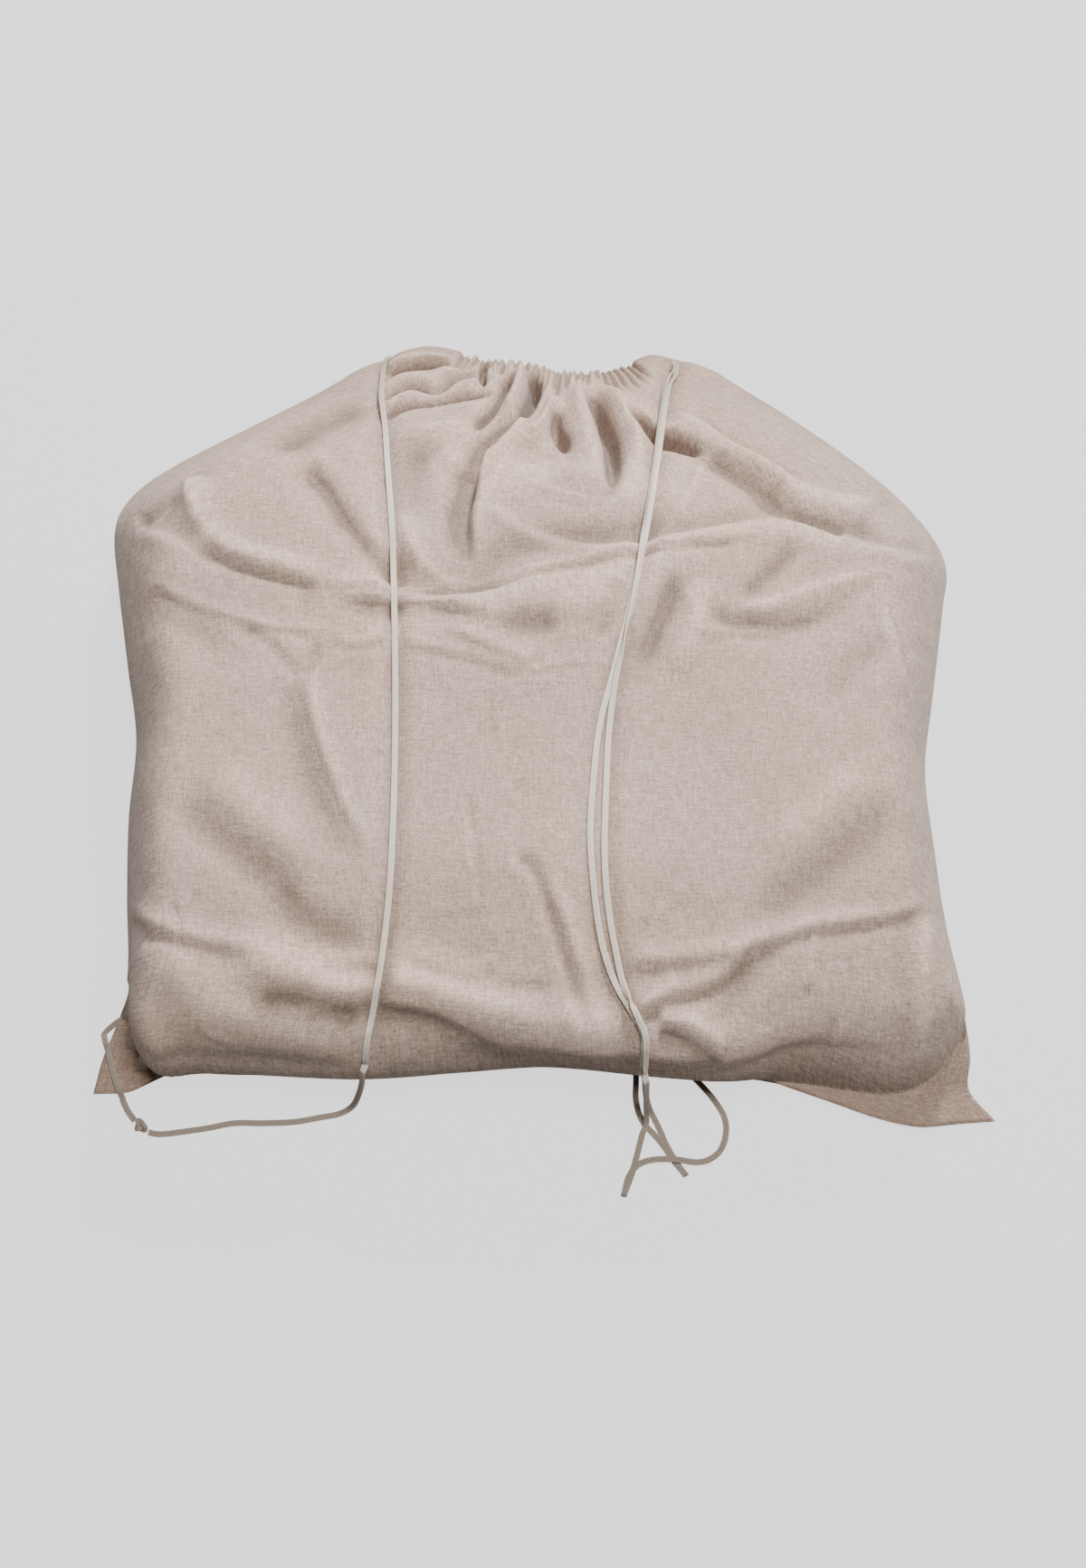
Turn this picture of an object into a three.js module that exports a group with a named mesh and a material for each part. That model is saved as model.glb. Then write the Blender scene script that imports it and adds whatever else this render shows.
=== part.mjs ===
// A stuffed cotton drawstring bag that lies on its back: two cloth panels and two flat braided cords.
// Millimetres, +X right, +Y towards the gathered mouth, +Z up, the back panel flat on z = 0.
import * as THREE from 'three';

// Driving sizes.
const clothThickness = 1.6;
const casingThickness = 2.2;
const casingStart = 0.945;
const mouthStart = 0.86;
const seamGap = 0.6;
const wallRoundness = 2.6;
const bodyCorner = { left: 26, right: 44 };
const flatCorner = { x: 216, y: -216, reach: 150, sink: 0.42, spread: 12 };
const earTop = 0.14;
const earWall = { left: -212, right: 216 };
const backWall = 44;
const bulge = { low: 9, high: 90, fullY: -200, noneY: -138 };
const planShift = { x: 4.41, y: -3.23 };
const cordWidth = 4;
const cordThickness = 1.3;
const cordClearance = 0.55;
const floorClearance = 0.05;

// Side seams and the swell of the front panel, from the ear tips (v 0) to the mouth (v 1).
// crown is the height of the front above the seams, wall the width of its rounded edge.
const stations = [
  { v: 0.0, leftX: -232.4, leftY: -214, rightX: 232.5, rightY: -229.5, seamZ: 2.3, crown: 54, wall: 34 },
  { v: 0.045, leftX: -228, leftY: -196, rightX: 219.5, rightY: -214, seamZ: 6.5, crown: 54, wall: 34 },
  { v: 0.09, leftX: -220.5, leftY: -181, rightX: 219.5, rightY: -198, seamZ: 16, crown: 54, wall: 34 },
  { v: 0.14, leftX: -213, leftY: -163, rightX: 215.5, rightY: -177, seamZ: 28, crown: 54, wall: 35 },
  { v: 0.24, leftX: -215, leftY: -120, rightX: 207.2, rightY: -135, seamZ: 37, crown: 55, wall: 36 },
  { v: 0.34, leftX: -217.5, leftY: -75, rightX: 204, rightY: -92, seamZ: 38, crown: 55, wall: 37 },
  { v: 0.44, leftX: -217.2, leftY: -30, rightX: 202.6, rightY: -48, seamZ: 38, crown: 55, wall: 38 },
  { v: 0.54, leftX: -225.5, leftY: 15, rightX: 210.5, rightY: -2, seamZ: 38, crown: 55, wall: 40 },
  { v: 0.64, leftX: -235, leftY: 66, rightX: 220, rightY: 51, seamZ: 38, crown: 53, wall: 48 },
  { v: 0.7, leftX: -240, leftY: 98, rightX: 224, rightY: 77, seamZ: 37, crown: 48, wall: 60 },
  { v: 0.755, leftX: -236, leftY: 120, rightX: 216.5, rightY: 102, seamZ: 34, crown: 40, wall: 70 },
  { v: 0.8, leftX: -220, leftY: 141, rightX: 197, rightY: 132, seamZ: 30, crown: 33, wall: 72 },
  { v: 0.87, leftX: -174, leftY: 175.5, rightX: 158, rightY: 173, seamZ: 24, crown: 23, wall: 60 },
  { v: 0.94, leftX: -125, leftY: 210.5, rightX: 114, rightY: 211.5, seamZ: 17, crown: 11, wall: 42 },
  { v: 1.0, leftX: -88, leftY: 233, rightX: 77, rightY: 230, seamZ: 12, crown: 5, wall: 22 },
];

// The bottom seam: tucked in under the body, and out on the surface at the two corner ears.
// wallY is the line where the body's wall starts.
const bottomSeam = [
  { u: -1.0, y: -214, z: 2.3, wallY: -206 },
  { u: -0.92, y: -213, z: 3, wallY: -206 },
  { u: -0.85, y: -206, z: 6, wallY: -205 },
  { u: -0.73, y: -201, z: 9, wallY: -201 },
  { u: -0.26, y: -200.5, z: 10, wallY: -200.5 },
  { u: 0.0, y: -200, z: 10, wallY: -200 },
  { u: 0.26, y: -203.5, z: 10, wallY: -203.5 },
  { u: 0.41, y: -205.5, z: 9, wallY: -205.5 },
  { u: 0.52, y: -209.5, z: 6, wallY: -207 },
  { u: 0.63, y: -218, z: 3.5, wallY: -209 },
  { u: 0.74, y: -227, z: 2.6, wallY: -213 },
  { u: 0.83, y: -231.5, z: 2.5, wallY: -215 },
  { u: 0.91, y: -230, z: 2.5, wallY: -216 },
  { u: 1.0, y: -228.5, z: 2.3, wallY: -216 },
];

// How far the bottom wall bulges out over its seam, across the bag.
const bulgeDepth = [
  { x: -212, depth: 0 },
  { x: -197, depth: 9 },
  { x: -180, depth: 10 },
  { x: -162, depth: 12.5 },
  { x: -144, depth: 13.5 },
  { x: -126, depth: 15 },
  { x: -108, depth: 16 },
  { x: -90, depth: 16 },
  { x: -72, depth: 14.5 },
  { x: -54, depth: 12.5 },
  { x: -36, depth: 10.5 },
  { x: -18, depth: 8 },
  { x: 0, depth: 6 },
  { x: 18, depth: 6.5 },
  { x: 36, depth: 8 },
  { x: 54, depth: 9.5 },
  { x: 72, depth: 10.5 },
  { x: 90, depth: 11 },
  { x: 104, depth: 8.5 },
  { x: 118, depth: 3 },
  { x: 130, depth: 0 },
];

// The uneven line and height of the casing's edge at the mouth.
const mouthEdge = [
  { u: -1.0, y: 0, z: 0 },
  { u: -0.85, y: 3.9, z: 3 },
  { u: -0.7, y: 4, z: 5 },
  { u: -0.45, y: 1.5, z: 3 },
  { u: -0.2, y: 0.8, z: 1 },
  { u: 0.07, y: -2.2, z: 0 },
  { u: 0.32, y: -4.8, z: 0 },
  { u: 0.58, y: -3.1, z: 0 },
  { u: 0.72, y: -0.4, z: 1 },
  { u: 0.84, y: 2.3, z: 2.5 },
  { u: 1.0, y: 1.7, z: 0 },
];

// The main folds of the front, each along a smooth line of plan points. rise is above the cloth, or below if negative.
const frontFolds = [
  { name: 'neck trough left', line: [[-6, 212], [-8, 165], [-38, 118]], width: 11, rise: -12 },
  { name: 'neck ridge left', line: [[8, 206], [-2, 150], [-38, 102]], width: 10, rise: 8 },
  { name: 'neck pocket', line: [[14, 192], [12, 165], [16, 136]], width: 7, rise: -5 },
  { name: 'neck ridge middle', line: [[20, 190], [24, 150], [27, 116]], width: 8, rise: 7 },
  { name: 'neck trough right', line: [[30, 182], [37, 160], [40, 118]], width: 9, rise: -9 },
  { name: 'long right trough', line: [[53, 178], [84, 139], [124, 96], [152, 66]], width: 15, rise: -10 },
  { name: 'right crest', line: [[40, 62], [92, 76], [150, 73], [196, 58]], width: 15, rise: 8 },
  { name: 'middle crease', line: [[-19, 37], [40, 47], [98, 56]], width: 9, rise: -8 },
  { name: 'long left fold', line: [[-214, 78], [-167, 58], [-118, 45], [-70, 38], [-19, 45], [20, 53]], width: 13, rise: 9 },
  { name: 'left fold foot', line: [[-120, 30], [-72, 22], [-30, 28]], width: 10, rise: -7 },
  { name: 'shoulder dip', line: [[-198, 118], [-194, 92], [-186, 72]], width: 13, rise: -6 },
  { name: 'left neck dip', line: [[-126, 122], [-112, 88], [-84, 58]], width: 15, rise: -11 },
  { name: 'upper left dip', line: [[-88, 166], [-112, 152], [-142, 140]], width: 11, rise: -5 },
  { name: 'left mouth fold', line: [[-84, 204], [-62, 207], [-44, 214]], width: 7, rise: 5 },
  { name: 'left ridge', line: [[-206, 30], [-160, 18], [-112, 6]], width: 9, rise: 3 },
  { name: 'left soft dip', line: [[-190, -88], [-152, -122], [-116, -150]], width: 20, rise: -5 },
  { name: 'bottom lip', line: [[-142, -172], [-96, -184], [-40, -196], [16, -204]], width: 12, rise: 6 },
  { name: 'long right crease', line: [[38, -176], [96, -170], [150, -156], [200, -140]], width: 10, rise: -4 },
  { name: 'diagonal crease', line: [[-13, -116], [8, -152], [26, -196]], width: 10, rise: -4 },
  { name: 'corner pocket', line: [[62, -198], [88, -204], [116, -206]], width: 10, rise: -7 },
];

// Gathers of the casing: their count, the part of the mouth they take, and how they fade down the neck.
const frontGathers = { count: 13, from: -0.54, to: 0.72, rise: 4.6, spread: 1.3, reach: 0.11 };
const backGathers = { count: 9, from: -0.7, to: 0.7, rise: 4.2, spread: 0.6, reach: 0.12 };

// Grid lines of the panels: rows along v, and columns across u for the body, the neck and the mouth.
const rowLines = [
  0, 0.012, 0.026, 0.042, 0.06, 0.08, 0.102, 0.128, 0.158, 0.19, 0.225, 0.262, 0.3, 0.34, 0.38, 0.42, 0.46,
  0.5, 0.54, 0.575, 0.61, 0.64, 0.668, 0.695, 0.72, 0.745, 0.77, 0.795, 0.82, 0.845, 0.868, 0.89, 0.91,
  0.928, 0.944, 0.96, 0.98, 1,
];

// Cord routes. z is left out where the cord lies on what is under it; layer counts the cords under it on the
// surface that the bag lies on. A flat cord that folds back over itself turns at its tip from one layer to the next.
// The two strands of the right cord are one loop, and they meet under the bag's bottom edge.
const leftFrontRoute = [
  { x: -90.5, y: 230.5 },
  { x: -93.5, y: 217 },
  { x: -93.5, y: 190 },
  { x: -90, y: 163 },
  { x: -86, y: 123 },
  { x: -81, y: 75 },
  { x: -78, y: 26 },
  { x: -76, y: -25 },
  { x: -75, y: -72 },
  { x: -75, y: -110 },
  { x: -76, y: -137 },
  { x: -79, y: -168 },
  { x: -82, y: -186 },
  { x: -85, y: -199 },
  { x: -87, y: -208 },
  { x: -89, y: -215, z: 50 },
  { x: -91, y: -217, z: 34 },
  { x: -94, y: -219, z: 18 },
  { x: -98, y: -221.5, z: 6 },
  { x: -105, y: -224, layer: 0 },
  { x: -115, y: -226, layer: 0 },
  { x: -128, y: -228.3, layer: 0 },
  { x: -144, y: -229, layer: 0 },
  { x: -159, y: -229, layer: 0 },
  { x: -172, y: -231.5, layer: 0 },
  { x: -186, y: -233.6, layer: 0 },
  { x: -197, y: -234.8, layer: 0 },
  { x: -203.1, y: -233.6, layer: 0 },
];
const leftBackRoute = [
  { x: -209.9, y: -228.1, layer: 0 },
  { x: -214.5, y: -222, z: 3.2 },
  { x: -218.5, y: -213 },
  { x: -222, y: -204 },
  { x: -224.6, y: -195 },
  { x: -226.6, y: -187.5, z: 15 },
  { x: -227, y: -182.5, z: 9.5 },
  { x: -224.5, y: -177, z: 4 },
  { x: -218, y: -168, layer: 0 },
  { x: -213, y: -140, layer: 0 },
  { x: -212, y: -90, layer: 0 },
  { x: -213, y: -30, layer: 0 },
  { x: -222, y: 30, layer: 0 },
  { x: -229, y: 80, layer: 0 },
  { x: -227, y: 112, layer: 0 },
  { x: -206, y: 141, layer: 0 },
  { x: -168, y: 167.5, layer: 0 },
  { x: -132, y: 195, layer: 0 },
  { x: -113, y: 211, layer: 0 },
  { x: -102, y: 224, z: 2.5 },
  { x: -95, y: 231.5, z: 6 },
];
const rightInnerRoute = [
  { x: 79, y: 228 },
  { x: 78, y: 214 },
  { x: 72.5, y: 196 },
  { x: 64.5, y: 136 },
  { x: 55.5, y: 73 },
  { x: 47, y: 29 },
  { x: 36.5, y: -14 },
  { x: 29, y: -45 },
  { x: 25.5, y: -75 },
  { x: 23.5, y: -105 },
  { x: 25, y: -134 },
  { x: 29, y: -162 },
  { x: 35, y: -180 },
  { x: 43, y: -194 },
  { x: 48.5, y: -204 },
  { x: 50.2, y: -208.5, z: 48 },
  { x: 51.4, y: -212, z: 33 },
  { x: 52.6, y: -215, z: 18 },
  { x: 54.6, y: -219.5, z: 5 },
  { x: 57.5, y: -227, layer: 0 },
  { x: 60, y: -232.5, layer: 0 },
  { x: 63, y: -240, layer: 0 },
  { x: 67.5, y: -248.5, layer: 0 },
  { x: 72.2, y: -255.4, layer: 0 },
  { x: 73, y: -256.6, layer: 0.5 },
  { x: 72, y: -255.6, layer: 1 },
  { x: 66.5, y: -248.8, layer: 1 },
  { x: 61.5, y: -241, layer: 1 },
  { x: 56.5, y: -234.5, layer: 0.4 },
  { x: 52.5, y: -230, layer: 0 },
  { x: 49.5, y: -224, layer: 0 },
  { x: 48, y: -216, layer: 0 },
  { x: 48.5, y: -207, layer: 0 },
];
const rightOuterRoute = [
  { x: 78, y: 227.5 },
  { x: 77.5, y: 214 },
  { x: 72, y: 196 },
  { x: 64, y: 136 },
  { x: 55.5, y: 73 },
  { x: 48, y: 29 },
  { x: 38.5, y: -14 },
  { x: 34, y: -45 },
  { x: 32, y: -75 },
  { x: 30.5, y: -115 },
  { x: 32, y: -143 },
  { x: 36.5, y: -170 },
  { x: 40, y: -184 },
  { x: 45.5, y: -197 },
  { x: 49.5, y: -206 },
  { x: 50.8, y: -211, z: 51 },
  { x: 51.8, y: -215, z: 36 },
  { x: 52.4, y: -219.5, z: 20 },
  { x: 53, y: -224, z: 8 },
  { x: 52.8, y: -231, layer: 1 },
  { x: 51, y: -235, layer: 1 },
  { x: 48, y: -246, layer: 0.2 },
  { x: 45, y: -256, layer: 0 },
  { x: 41.2, y: -265.8, layer: 0 },
  { x: 40.8, y: -267.2, layer: 0.5 },
  { x: 41.4, y: -265.6, layer: 1 },
  { x: 43.5, y: -257.5, layer: 1 },
  { x: 48.5, y: -251, layer: 1 },
  { x: 57, y: -248.6, layer: 1.6 },
  { x: 68, y: -248.8, layer: 2 },
  { x: 78, y: -249.8, layer: 1 },
  { x: 85, y: -248, layer: 0.2 },
  { x: 91, y: -243, layer: 0 },
  { x: 94, y: -234.5, layer: 0 },
  { x: 93.5, y: -226, layer: 0 },
  { x: 89, y: -217.5, layer: 0 },
  { x: 83.5, y: -210.5, layer: 0 },
  { x: 78, y: -204.5, layer: 0 },
  { x: 71.5, y: -199, layer: 0 },
  { x: 64, y: -196.3, layer: 0 },
  { x: 57, y: -196.6, layer: 0 },
  { x: 51.8, y: -199.6, layer: 0 },
  { x: 49, y: -203.8, layer: 0 },
  { x: 48.5, y: -206.5, layer: 0 },
];

// Height of a rounded edge between 0 and 1 for a distance t from 0 to 1.
function roundedEdge(t) {
  const inside = Math.min(Math.max(t, 0), 1);
  return 1 - (1 - inside) ** wallRoundness;
}

function ease(from, to, value) {
  const t = Math.min(Math.max((value - from) / (to - from), 0), 1);
  return t * t * (3 - 2 * t);
}

// A smooth curve through one column of a table, by cubic Hermite pieces.
function column(table, key, name, at) {
  let i = 0;
  while (i < table.length - 2 && at > table[i + 1][key]) i += 1;
  const slope = (k) => {
    const a = table[Math.max(k - 1, 0)];
    const b = table[Math.min(k + 1, table.length - 1)];
    return (b[name] - a[name]) / (b[key] - a[key]);
  };
  const step = table[i + 1][key] - table[i][key];
  const t = (at - table[i][key]) / step;
  const blend = t * t * (3 - 2 * t);
  return table[i][name] * (1 - blend) + table[i + 1][name] * blend
    + step * (t * (1 - t) ** 2 * slope(i) - t * t * (1 - t) * slope(i + 1));
}

// Distance inside a corner of the body that is rounded by a radius.
function cornerDistance(across, along, radius) {
  if (across < radius && along < radius) return radius - Math.hypot(radius - across, radius - along);
  return Math.min(across, along);
}

// The plan place, the height of the seam level and the distance inside the body at u, v.
function layout(u, v) {
  const at = (name) => column(stations, 'v', name, v);
  const half = (u + 1) / 2;
  const leftX = at('leftX');
  const rightX = at('rightX');
  const first = stations[0];
  const bottomFade = Math.max(1 - v / 0.3, 0) ** 2;
  const bottomY = column(bottomSeam, 'u', 'y', u);
  const straightY = first.leftY + (first.rightY - first.leftY) * half;
  const mouthFade = ease(0.9, 1, v);
  const x = leftX + (rightX - leftX) * half;
  const y = at('leftY') + (at('rightY') - at('leftY')) * half + (bottomY - straightY) * bottomFade
    + column(mouthEdge, 'u', 'y', u) * mouthFade;
  const heightFade = Math.max(1 - v / earTop, 0) ** 2;
  const seamZ = at('seamZ') + (column(bottomSeam, 'u', 'z', u) - first.seamZ) * heightFade
    + column(mouthEdge, 'u', 'z', u) * mouthFade;
  const wallLeft = v < earTop ? Math.max(leftX, earWall.left) : leftX;
  const wallRight = v < earTop ? Math.min(rightX, earWall.right) : rightX;
  const across = Math.min(x - wallLeft, wallRight - x);
  const wallY = column(bottomSeam, 'u', 'wallY', u);
  const inside = cornerDistance(across, y - wallY, x < 0 ? bodyCorner.left : bodyCorner.right);
  const flatness = 1 - ease(0, flatCorner.reach, Math.hypot(x - flatCorner.x, y - flatCorner.y));
  const crown = at('crown') * (1 - flatCorner.sink * flatness);
  return { x, y, seamZ, inside, crown, wall: at('wall') + flatCorner.spread * flatness };
}

// Distance from a plan point to a fold's line, and how far along the line its nearest point is.
function nearestOnLine(points, x, y) {
  let best = { distance: Infinity, along: 0 };
  for (let i = 0; i < points.length - 1; i += 1) {
    const dx = points[i + 1].x - points[i].x;
    const dy = points[i + 1].y - points[i].y;
    const raw = ((x - points[i].x) * dx + (y - points[i].y) * dy) / (dx * dx + dy * dy);
    const t = Math.min(Math.max(raw, 0), 1);
    const distance = Math.hypot(x - points[i].x - t * dx, y - points[i].y - t * dy);
    if (distance < best.distance) best = { distance, along: (i + t) / (points.length - 1) };
  }
  return best;
}

const foldLines = frontFolds.map((fold) => {
  const curve = new THREE.SplineCurve(fold.line.map(([x, y]) => new THREE.Vector2(x, y)));
  return { ...fold, points: curve.getPoints(10) };
});

function foldLift(x, y) {
  return foldLines.reduce((sum, fold) => {
    const { distance, along } = nearestOnLine(fold.points, x, y);
    const taper = Math.sin(Math.PI * Math.min(Math.max(along, 0.04), 0.96)) ** 0.6;
    return sum + fold.rise * taper * Math.exp(-((distance / fold.width) ** 2));
  }, 0);
}

// The gathers at the mouth: rounded ridges side by side, uneven in height and length.
function gatherLift(gathers, u, v) {
  const pitch = (gathers.to - gathers.from) / (gathers.count - 1);
  let lift = 0;
  for (let k = 0; k < gathers.count; k += 1) {
    const offset = Math.abs(u - gathers.from - k * pitch) / (pitch / 2);
    const reach = gathers.reach * (1 + 0.45 * Math.sin(1.7 * k + 1));
    const fade = Math.max(1 - (1 - v) / reach, 0) ** 1.3;
    const rise = gathers.rise + gathers.spread * Math.sin(2.1 * k);
    if (offset < 1) lift += rise * fade * 0.5 * (1 + Math.cos(Math.PI * offset));
  }
  return lift;
}

// The bottom wall bulges out over its tucked seam. The same shift moves both panels.
function bulgeOut(x, y, z) {
  const level = Math.min(Math.max((z - bulge.low) / (bulge.high - bulge.low), 0), 1);
  const within = Math.min(Math.max(x, bulgeDepth[0].x), bulgeDepth[bulgeDepth.length - 1].x);
  const lengthwise = 1 - ease(bulge.fullY, bulge.noneY, y);
  return y - column(bulgeDepth, 'x', 'depth', within) * lengthwise * Math.sin(Math.PI * level ** 0.7);
}

const panels = {
  front: {
    side: 1,
    base: (place) => place.seamZ + seamGap / 2 + place.crown * roundedEdge(place.inside / place.wall),
    relief: (place, u, v) => foldLift(place.x, place.y) * ease(0, 22, place.inside) * (1 - ease(0.95, 1, v))
      + gatherLift(frontGathers, u, v) * ease(0, 8, place.inside),
  },
  back: {
    side: -1,
    base: (place) => {
      const drop = place.seamZ - seamGap / 2 - clothThickness;
      return place.seamZ - seamGap / 2 - drop * roundedEdge(place.inside / Math.min(backWall, place.wall * 1.4));
    },
    relief: (place, u, v) => gatherLift(backGathers, u, v) * ease(0, 8, place.inside),
  },
};

function basePoint(panel, u, v) {
  const place = layout(u, v);
  const z = panel.base(place);
  return new THREE.Vector3(place.x, bulgeOut(place.x, place.y, z), z);
}

// The inner and the outer point of a panel. Its thickness goes outwards, square to the cloth without its folds.
function panelPoint(panel, u, v) {
  const step = 0.004;
  const u0 = Math.max(u - step, -1);
  const u1 = Math.min(u + step, 1);
  const v0 = Math.max(v - step, 0);
  const v1 = Math.min(v + step, 1);
  const across = basePoint(panel, u1, v).sub(basePoint(panel, u0, v));
  const along = basePoint(panel, u, v1).sub(basePoint(panel, u, v0));
  const normal = across.cross(along).normalize().multiplyScalar(panel.side);
  if (normal.z * panel.side < 0) normal.z = 0;
  normal.normalize();
  const place = layout(u, v);
  const relief = panel.relief(place, u, v);
  const z = panel.base(place);
  const inner = new THREE.Vector3(place.x, bulgeOut(place.x, place.y, z), z + relief);
  const thickness = v > casingStart ? casingThickness : clothThickness;
  const outer = inner.clone().addScaledVector(normal, panel.side < 0 ? clothThickness : thickness);
  if (panel.side < 0) outer.z = Math.max(outer.z, 0);
  return { inner, outer };
}

// Columns that crowd towards the seams, and columns that follow the gathers at the mouth.
function bodyColumns(count) {
  return Array.from({ length: count + 1 }, (_, i) => {
    const w = (2 * i) / count - 1;
    return 0.42 * w + 0.58 * Math.sin((w * Math.PI) / 2);
  });
}

function mouthColumns(gathers, ends) {
  const pitch = (gathers.to - gathers.from) / (gathers.count - 1);
  const start = gathers.from - pitch / 2;
  const stop = gathers.to + pitch / 2;
  const inner = Array.from({ length: 4 * gathers.count + 1 }, (_, i) => start + (i * pitch) / 4);
  const left = Array.from({ length: ends }, (_, i) => -1 + ((start + 1) * i) / ends);
  const right = Array.from({ length: ends }, (_, i) => stop + ((1 - stop) * (i + 1)) / ends);
  return [...left, ...inner, ...right];
}

// A closed sheet between rows of inner and outer points; neighbouring rows may differ in their columns.
function sheetGeometry(panel, rowValues, columnsAt) {
  const positions = [];
  const rows = rowValues.map((v) => columnsAt(v).map((u) => {
    const { inner, outer } = panelPoint(panel, u, v);
    const top = panel.side > 0 ? outer : inner;
    const under = panel.side > 0 ? inner : outer;
    positions.push(top.x, top.y, top.z, under.x, under.y, under.z);
    return { u, top: positions.length / 3 - 2, under: positions.length / 3 - 1 };
  }));
  const index = [];
  const quad = (a, b, c, d) => index.push(a, b, c, a, c, d);
  for (let r = 0; r < rows.length - 1; r += 1) {
    const near = rows[r];
    const far = rows[r + 1];
    let i = 0;
    let j = 0;
    while (i < near.length - 1 || j < far.length - 1) {
      const nextNear = i < near.length - 1 ? near[i + 1].u : Infinity;
      const nextFar = j < far.length - 1 ? far[j + 1].u : Infinity;
      if (nextNear <= nextFar) {
        index.push(near[i].top, near[i + 1].top, far[j].top, near[i].under, far[j].under, near[i + 1].under);
        i += 1;
      } else {
        index.push(near[i].top, far[j + 1].top, far[j].top, near[i].under, far[j].under, far[j + 1].under);
        j += 1;
      }
    }
    quad(near[0].top, far[0].top, far[0].under, near[0].under);
    const nearEnd = near[near.length - 1];
    const farEnd = far[far.length - 1];
    quad(nearEnd.top, nearEnd.under, farEnd.under, farEnd.top);
  }
  const rim = (row, forward) => {
    for (let i = 0; i < row.length - 1; i += 1) {
      const [a, b] = forward ? [row[i], row[i + 1]] : [row[i + 1], row[i]];
      quad(a.top, a.under, b.under, b.top);
    }
  };
  rim(rows[0], true);
  rim(rows[rows.length - 1], false);
  const geometry = new THREE.BufferGeometry();
  geometry.setAttribute('position', new THREE.Float32BufferAttribute(positions, 3));
  geometry.setIndex(index);
  geometry.translate(planShift.x, planShift.y, 0);
  geometry.computeVertexNormals();
  return geometry;
}

// Highest point of a solid above a plan point, or zero where there is none.
function topAbove(geometry, x, y) {
  const { array, count } = geometry.attributes.position;
  const corners = geometry.index ? geometry.index.count : count;
  const corner = (k) => 3 * (geometry.index ? geometry.index.array[k] : k);
  let top = 0;
  for (let k = 0; k < corners; k += 3) {
    const [a, b, c] = [corner(k), corner(k + 1), corner(k + 2)];
    const bx = array[b] - array[a];
    const by = array[b + 1] - array[a + 1];
    const cx = array[c] - array[a];
    const cy = array[c + 1] - array[a + 1];
    const area = bx * cy - by * cx;
    const px = x - array[a];
    const py = y - array[a + 1];
    const s = (px * cy - py * cx) / area;
    const t = (bx * py - by * px) / area;
    if (s >= 0 && t >= 0 && s + t <= 1) {
      const z = array[a + 2] + s * (array[b + 2] - array[a + 2]) + t * (array[c + 2] - array[a + 2]);
      top = Math.max(top, z);
    }
  }
  return top;
}

// Cord stations: on the cloth they are lifted until the straight stretches between them clear what is under them.
function settleCord(route, under) {
  const lift = cordThickness / 2 + cordClearance;
  const topOf = (x, y) => Math.max(...under.map((geometry) => topAbove(geometry, x, y)));
  const points = route.map((row) => {
    const x = row.x + planShift.x;
    const y = row.y + planShift.y;
    const onCloth = row.z === undefined && row.layer === undefined;
    const floorZ = floorClearance + cordThickness / 2 + (row.layer ?? 0) * (cordThickness + cordClearance);
    const z = onCloth ? topOf(x, y) + lift : row.z ?? floorZ;
    return { position: new THREE.Vector3(x, y, z), onCloth };
  });
  for (let pass = 0; pass < 6; pass += 1) {
    for (let i = 0; i < points.length - 1; i += 1) {
      const [a, b] = [points[i], points[i + 1]];
      if (!a.onCloth && !b.onCloth) continue;
      const across = new THREE.Vector2(b.position.y - a.position.y, a.position.x - b.position.x).normalize();
      const run = Math.hypot(b.position.x - a.position.x, b.position.y - a.position.y);
      const squareLift = lift * Math.min(a.position.distanceTo(b.position) / run, 2.5);
      let short = 0;
      for (let t = 0; t <= 1.001; t += 0.1) {
        const middle = a.position.clone().lerp(b.position, t);
        for (const offset of [-0.5, 0, 0.5]) {
          const x = middle.x + across.x * offset * cordWidth;
          const y = middle.y + across.y * offset * cordWidth;
          short = Math.max(short, topOf(x, y) + squareLift - middle.z);
        }
      }
      if (a.onCloth) a.position.z += short * 0.6;
      if (b.onCloth) b.position.z += short * 0.6;
    }
  }
  return points;
}

// A path of straight stretches that carries the flat section along without twist, level where it lies.
class CordPath extends THREE.Curve {
  constructor(points) {
    super();
    this.points = points;
  }

  getSpacedPoints() {
    return this.points.map((point) => point.clone());
  }

  computeFrenetFrames() {
    const frames = { tangents: [], normals: [], binormals: [] };
    const turn = new THREE.Quaternion();
    let up = new THREE.Vector3(0, 0, 1);
    this.points.forEach((_, i) => {
      const before = this.points[Math.max(i - 1, 0)];
      const after = this.points[Math.min(i + 1, this.points.length - 1)];
      const tangent = after.clone().sub(before).normalize();
      const last = frames.tangents[i - 1] ?? tangent;
      const carried = up.clone().applyQuaternion(turn.setFromUnitVectors(last, tangent));
      const level = new THREE.Vector3(0, 0, 1).addScaledVector(tangent, -tangent.z);
      const flip = level.dot(carried) < 0 ? -1 : 1;
      const steep = ease(0.5, 0.9, Math.abs(tangent.z));
      up = level.normalize().multiplyScalar(flip).lerp(carried, steep);
      up.addScaledVector(tangent, -up.dot(tangent)).normalize();
      frames.tangents.push(tangent);
      frames.normals.push(up.clone().cross(tangent));
      frames.binormals.push(up.clone());
    });
    return frames;
  }
}

function cordGeometry(route, under) {
  const path = new CordPath(settleCord(route, under).map((point) => point.position));
  const [w, h] = [cordWidth / 2, cordThickness / 2];
  const section = new THREE.Shape([
    new THREE.Vector2(w, -0.45 * h),
    new THREE.Vector2(w, 0.45 * h),
    new THREE.Vector2(0.7 * w, h),
    new THREE.Vector2(-0.7 * w, h),
    new THREE.Vector2(-w, 0.45 * h),
    new THREE.Vector2(-w, -0.45 * h),
    new THREE.Vector2(-0.7 * w, -h),
    new THREE.Vector2(0.7 * w, -h),
  ]);
  return new THREE.ExtrudeGeometry(section, { steps: route.length - 1, extrudePath: path, bevelEnabled: false });
}

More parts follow.
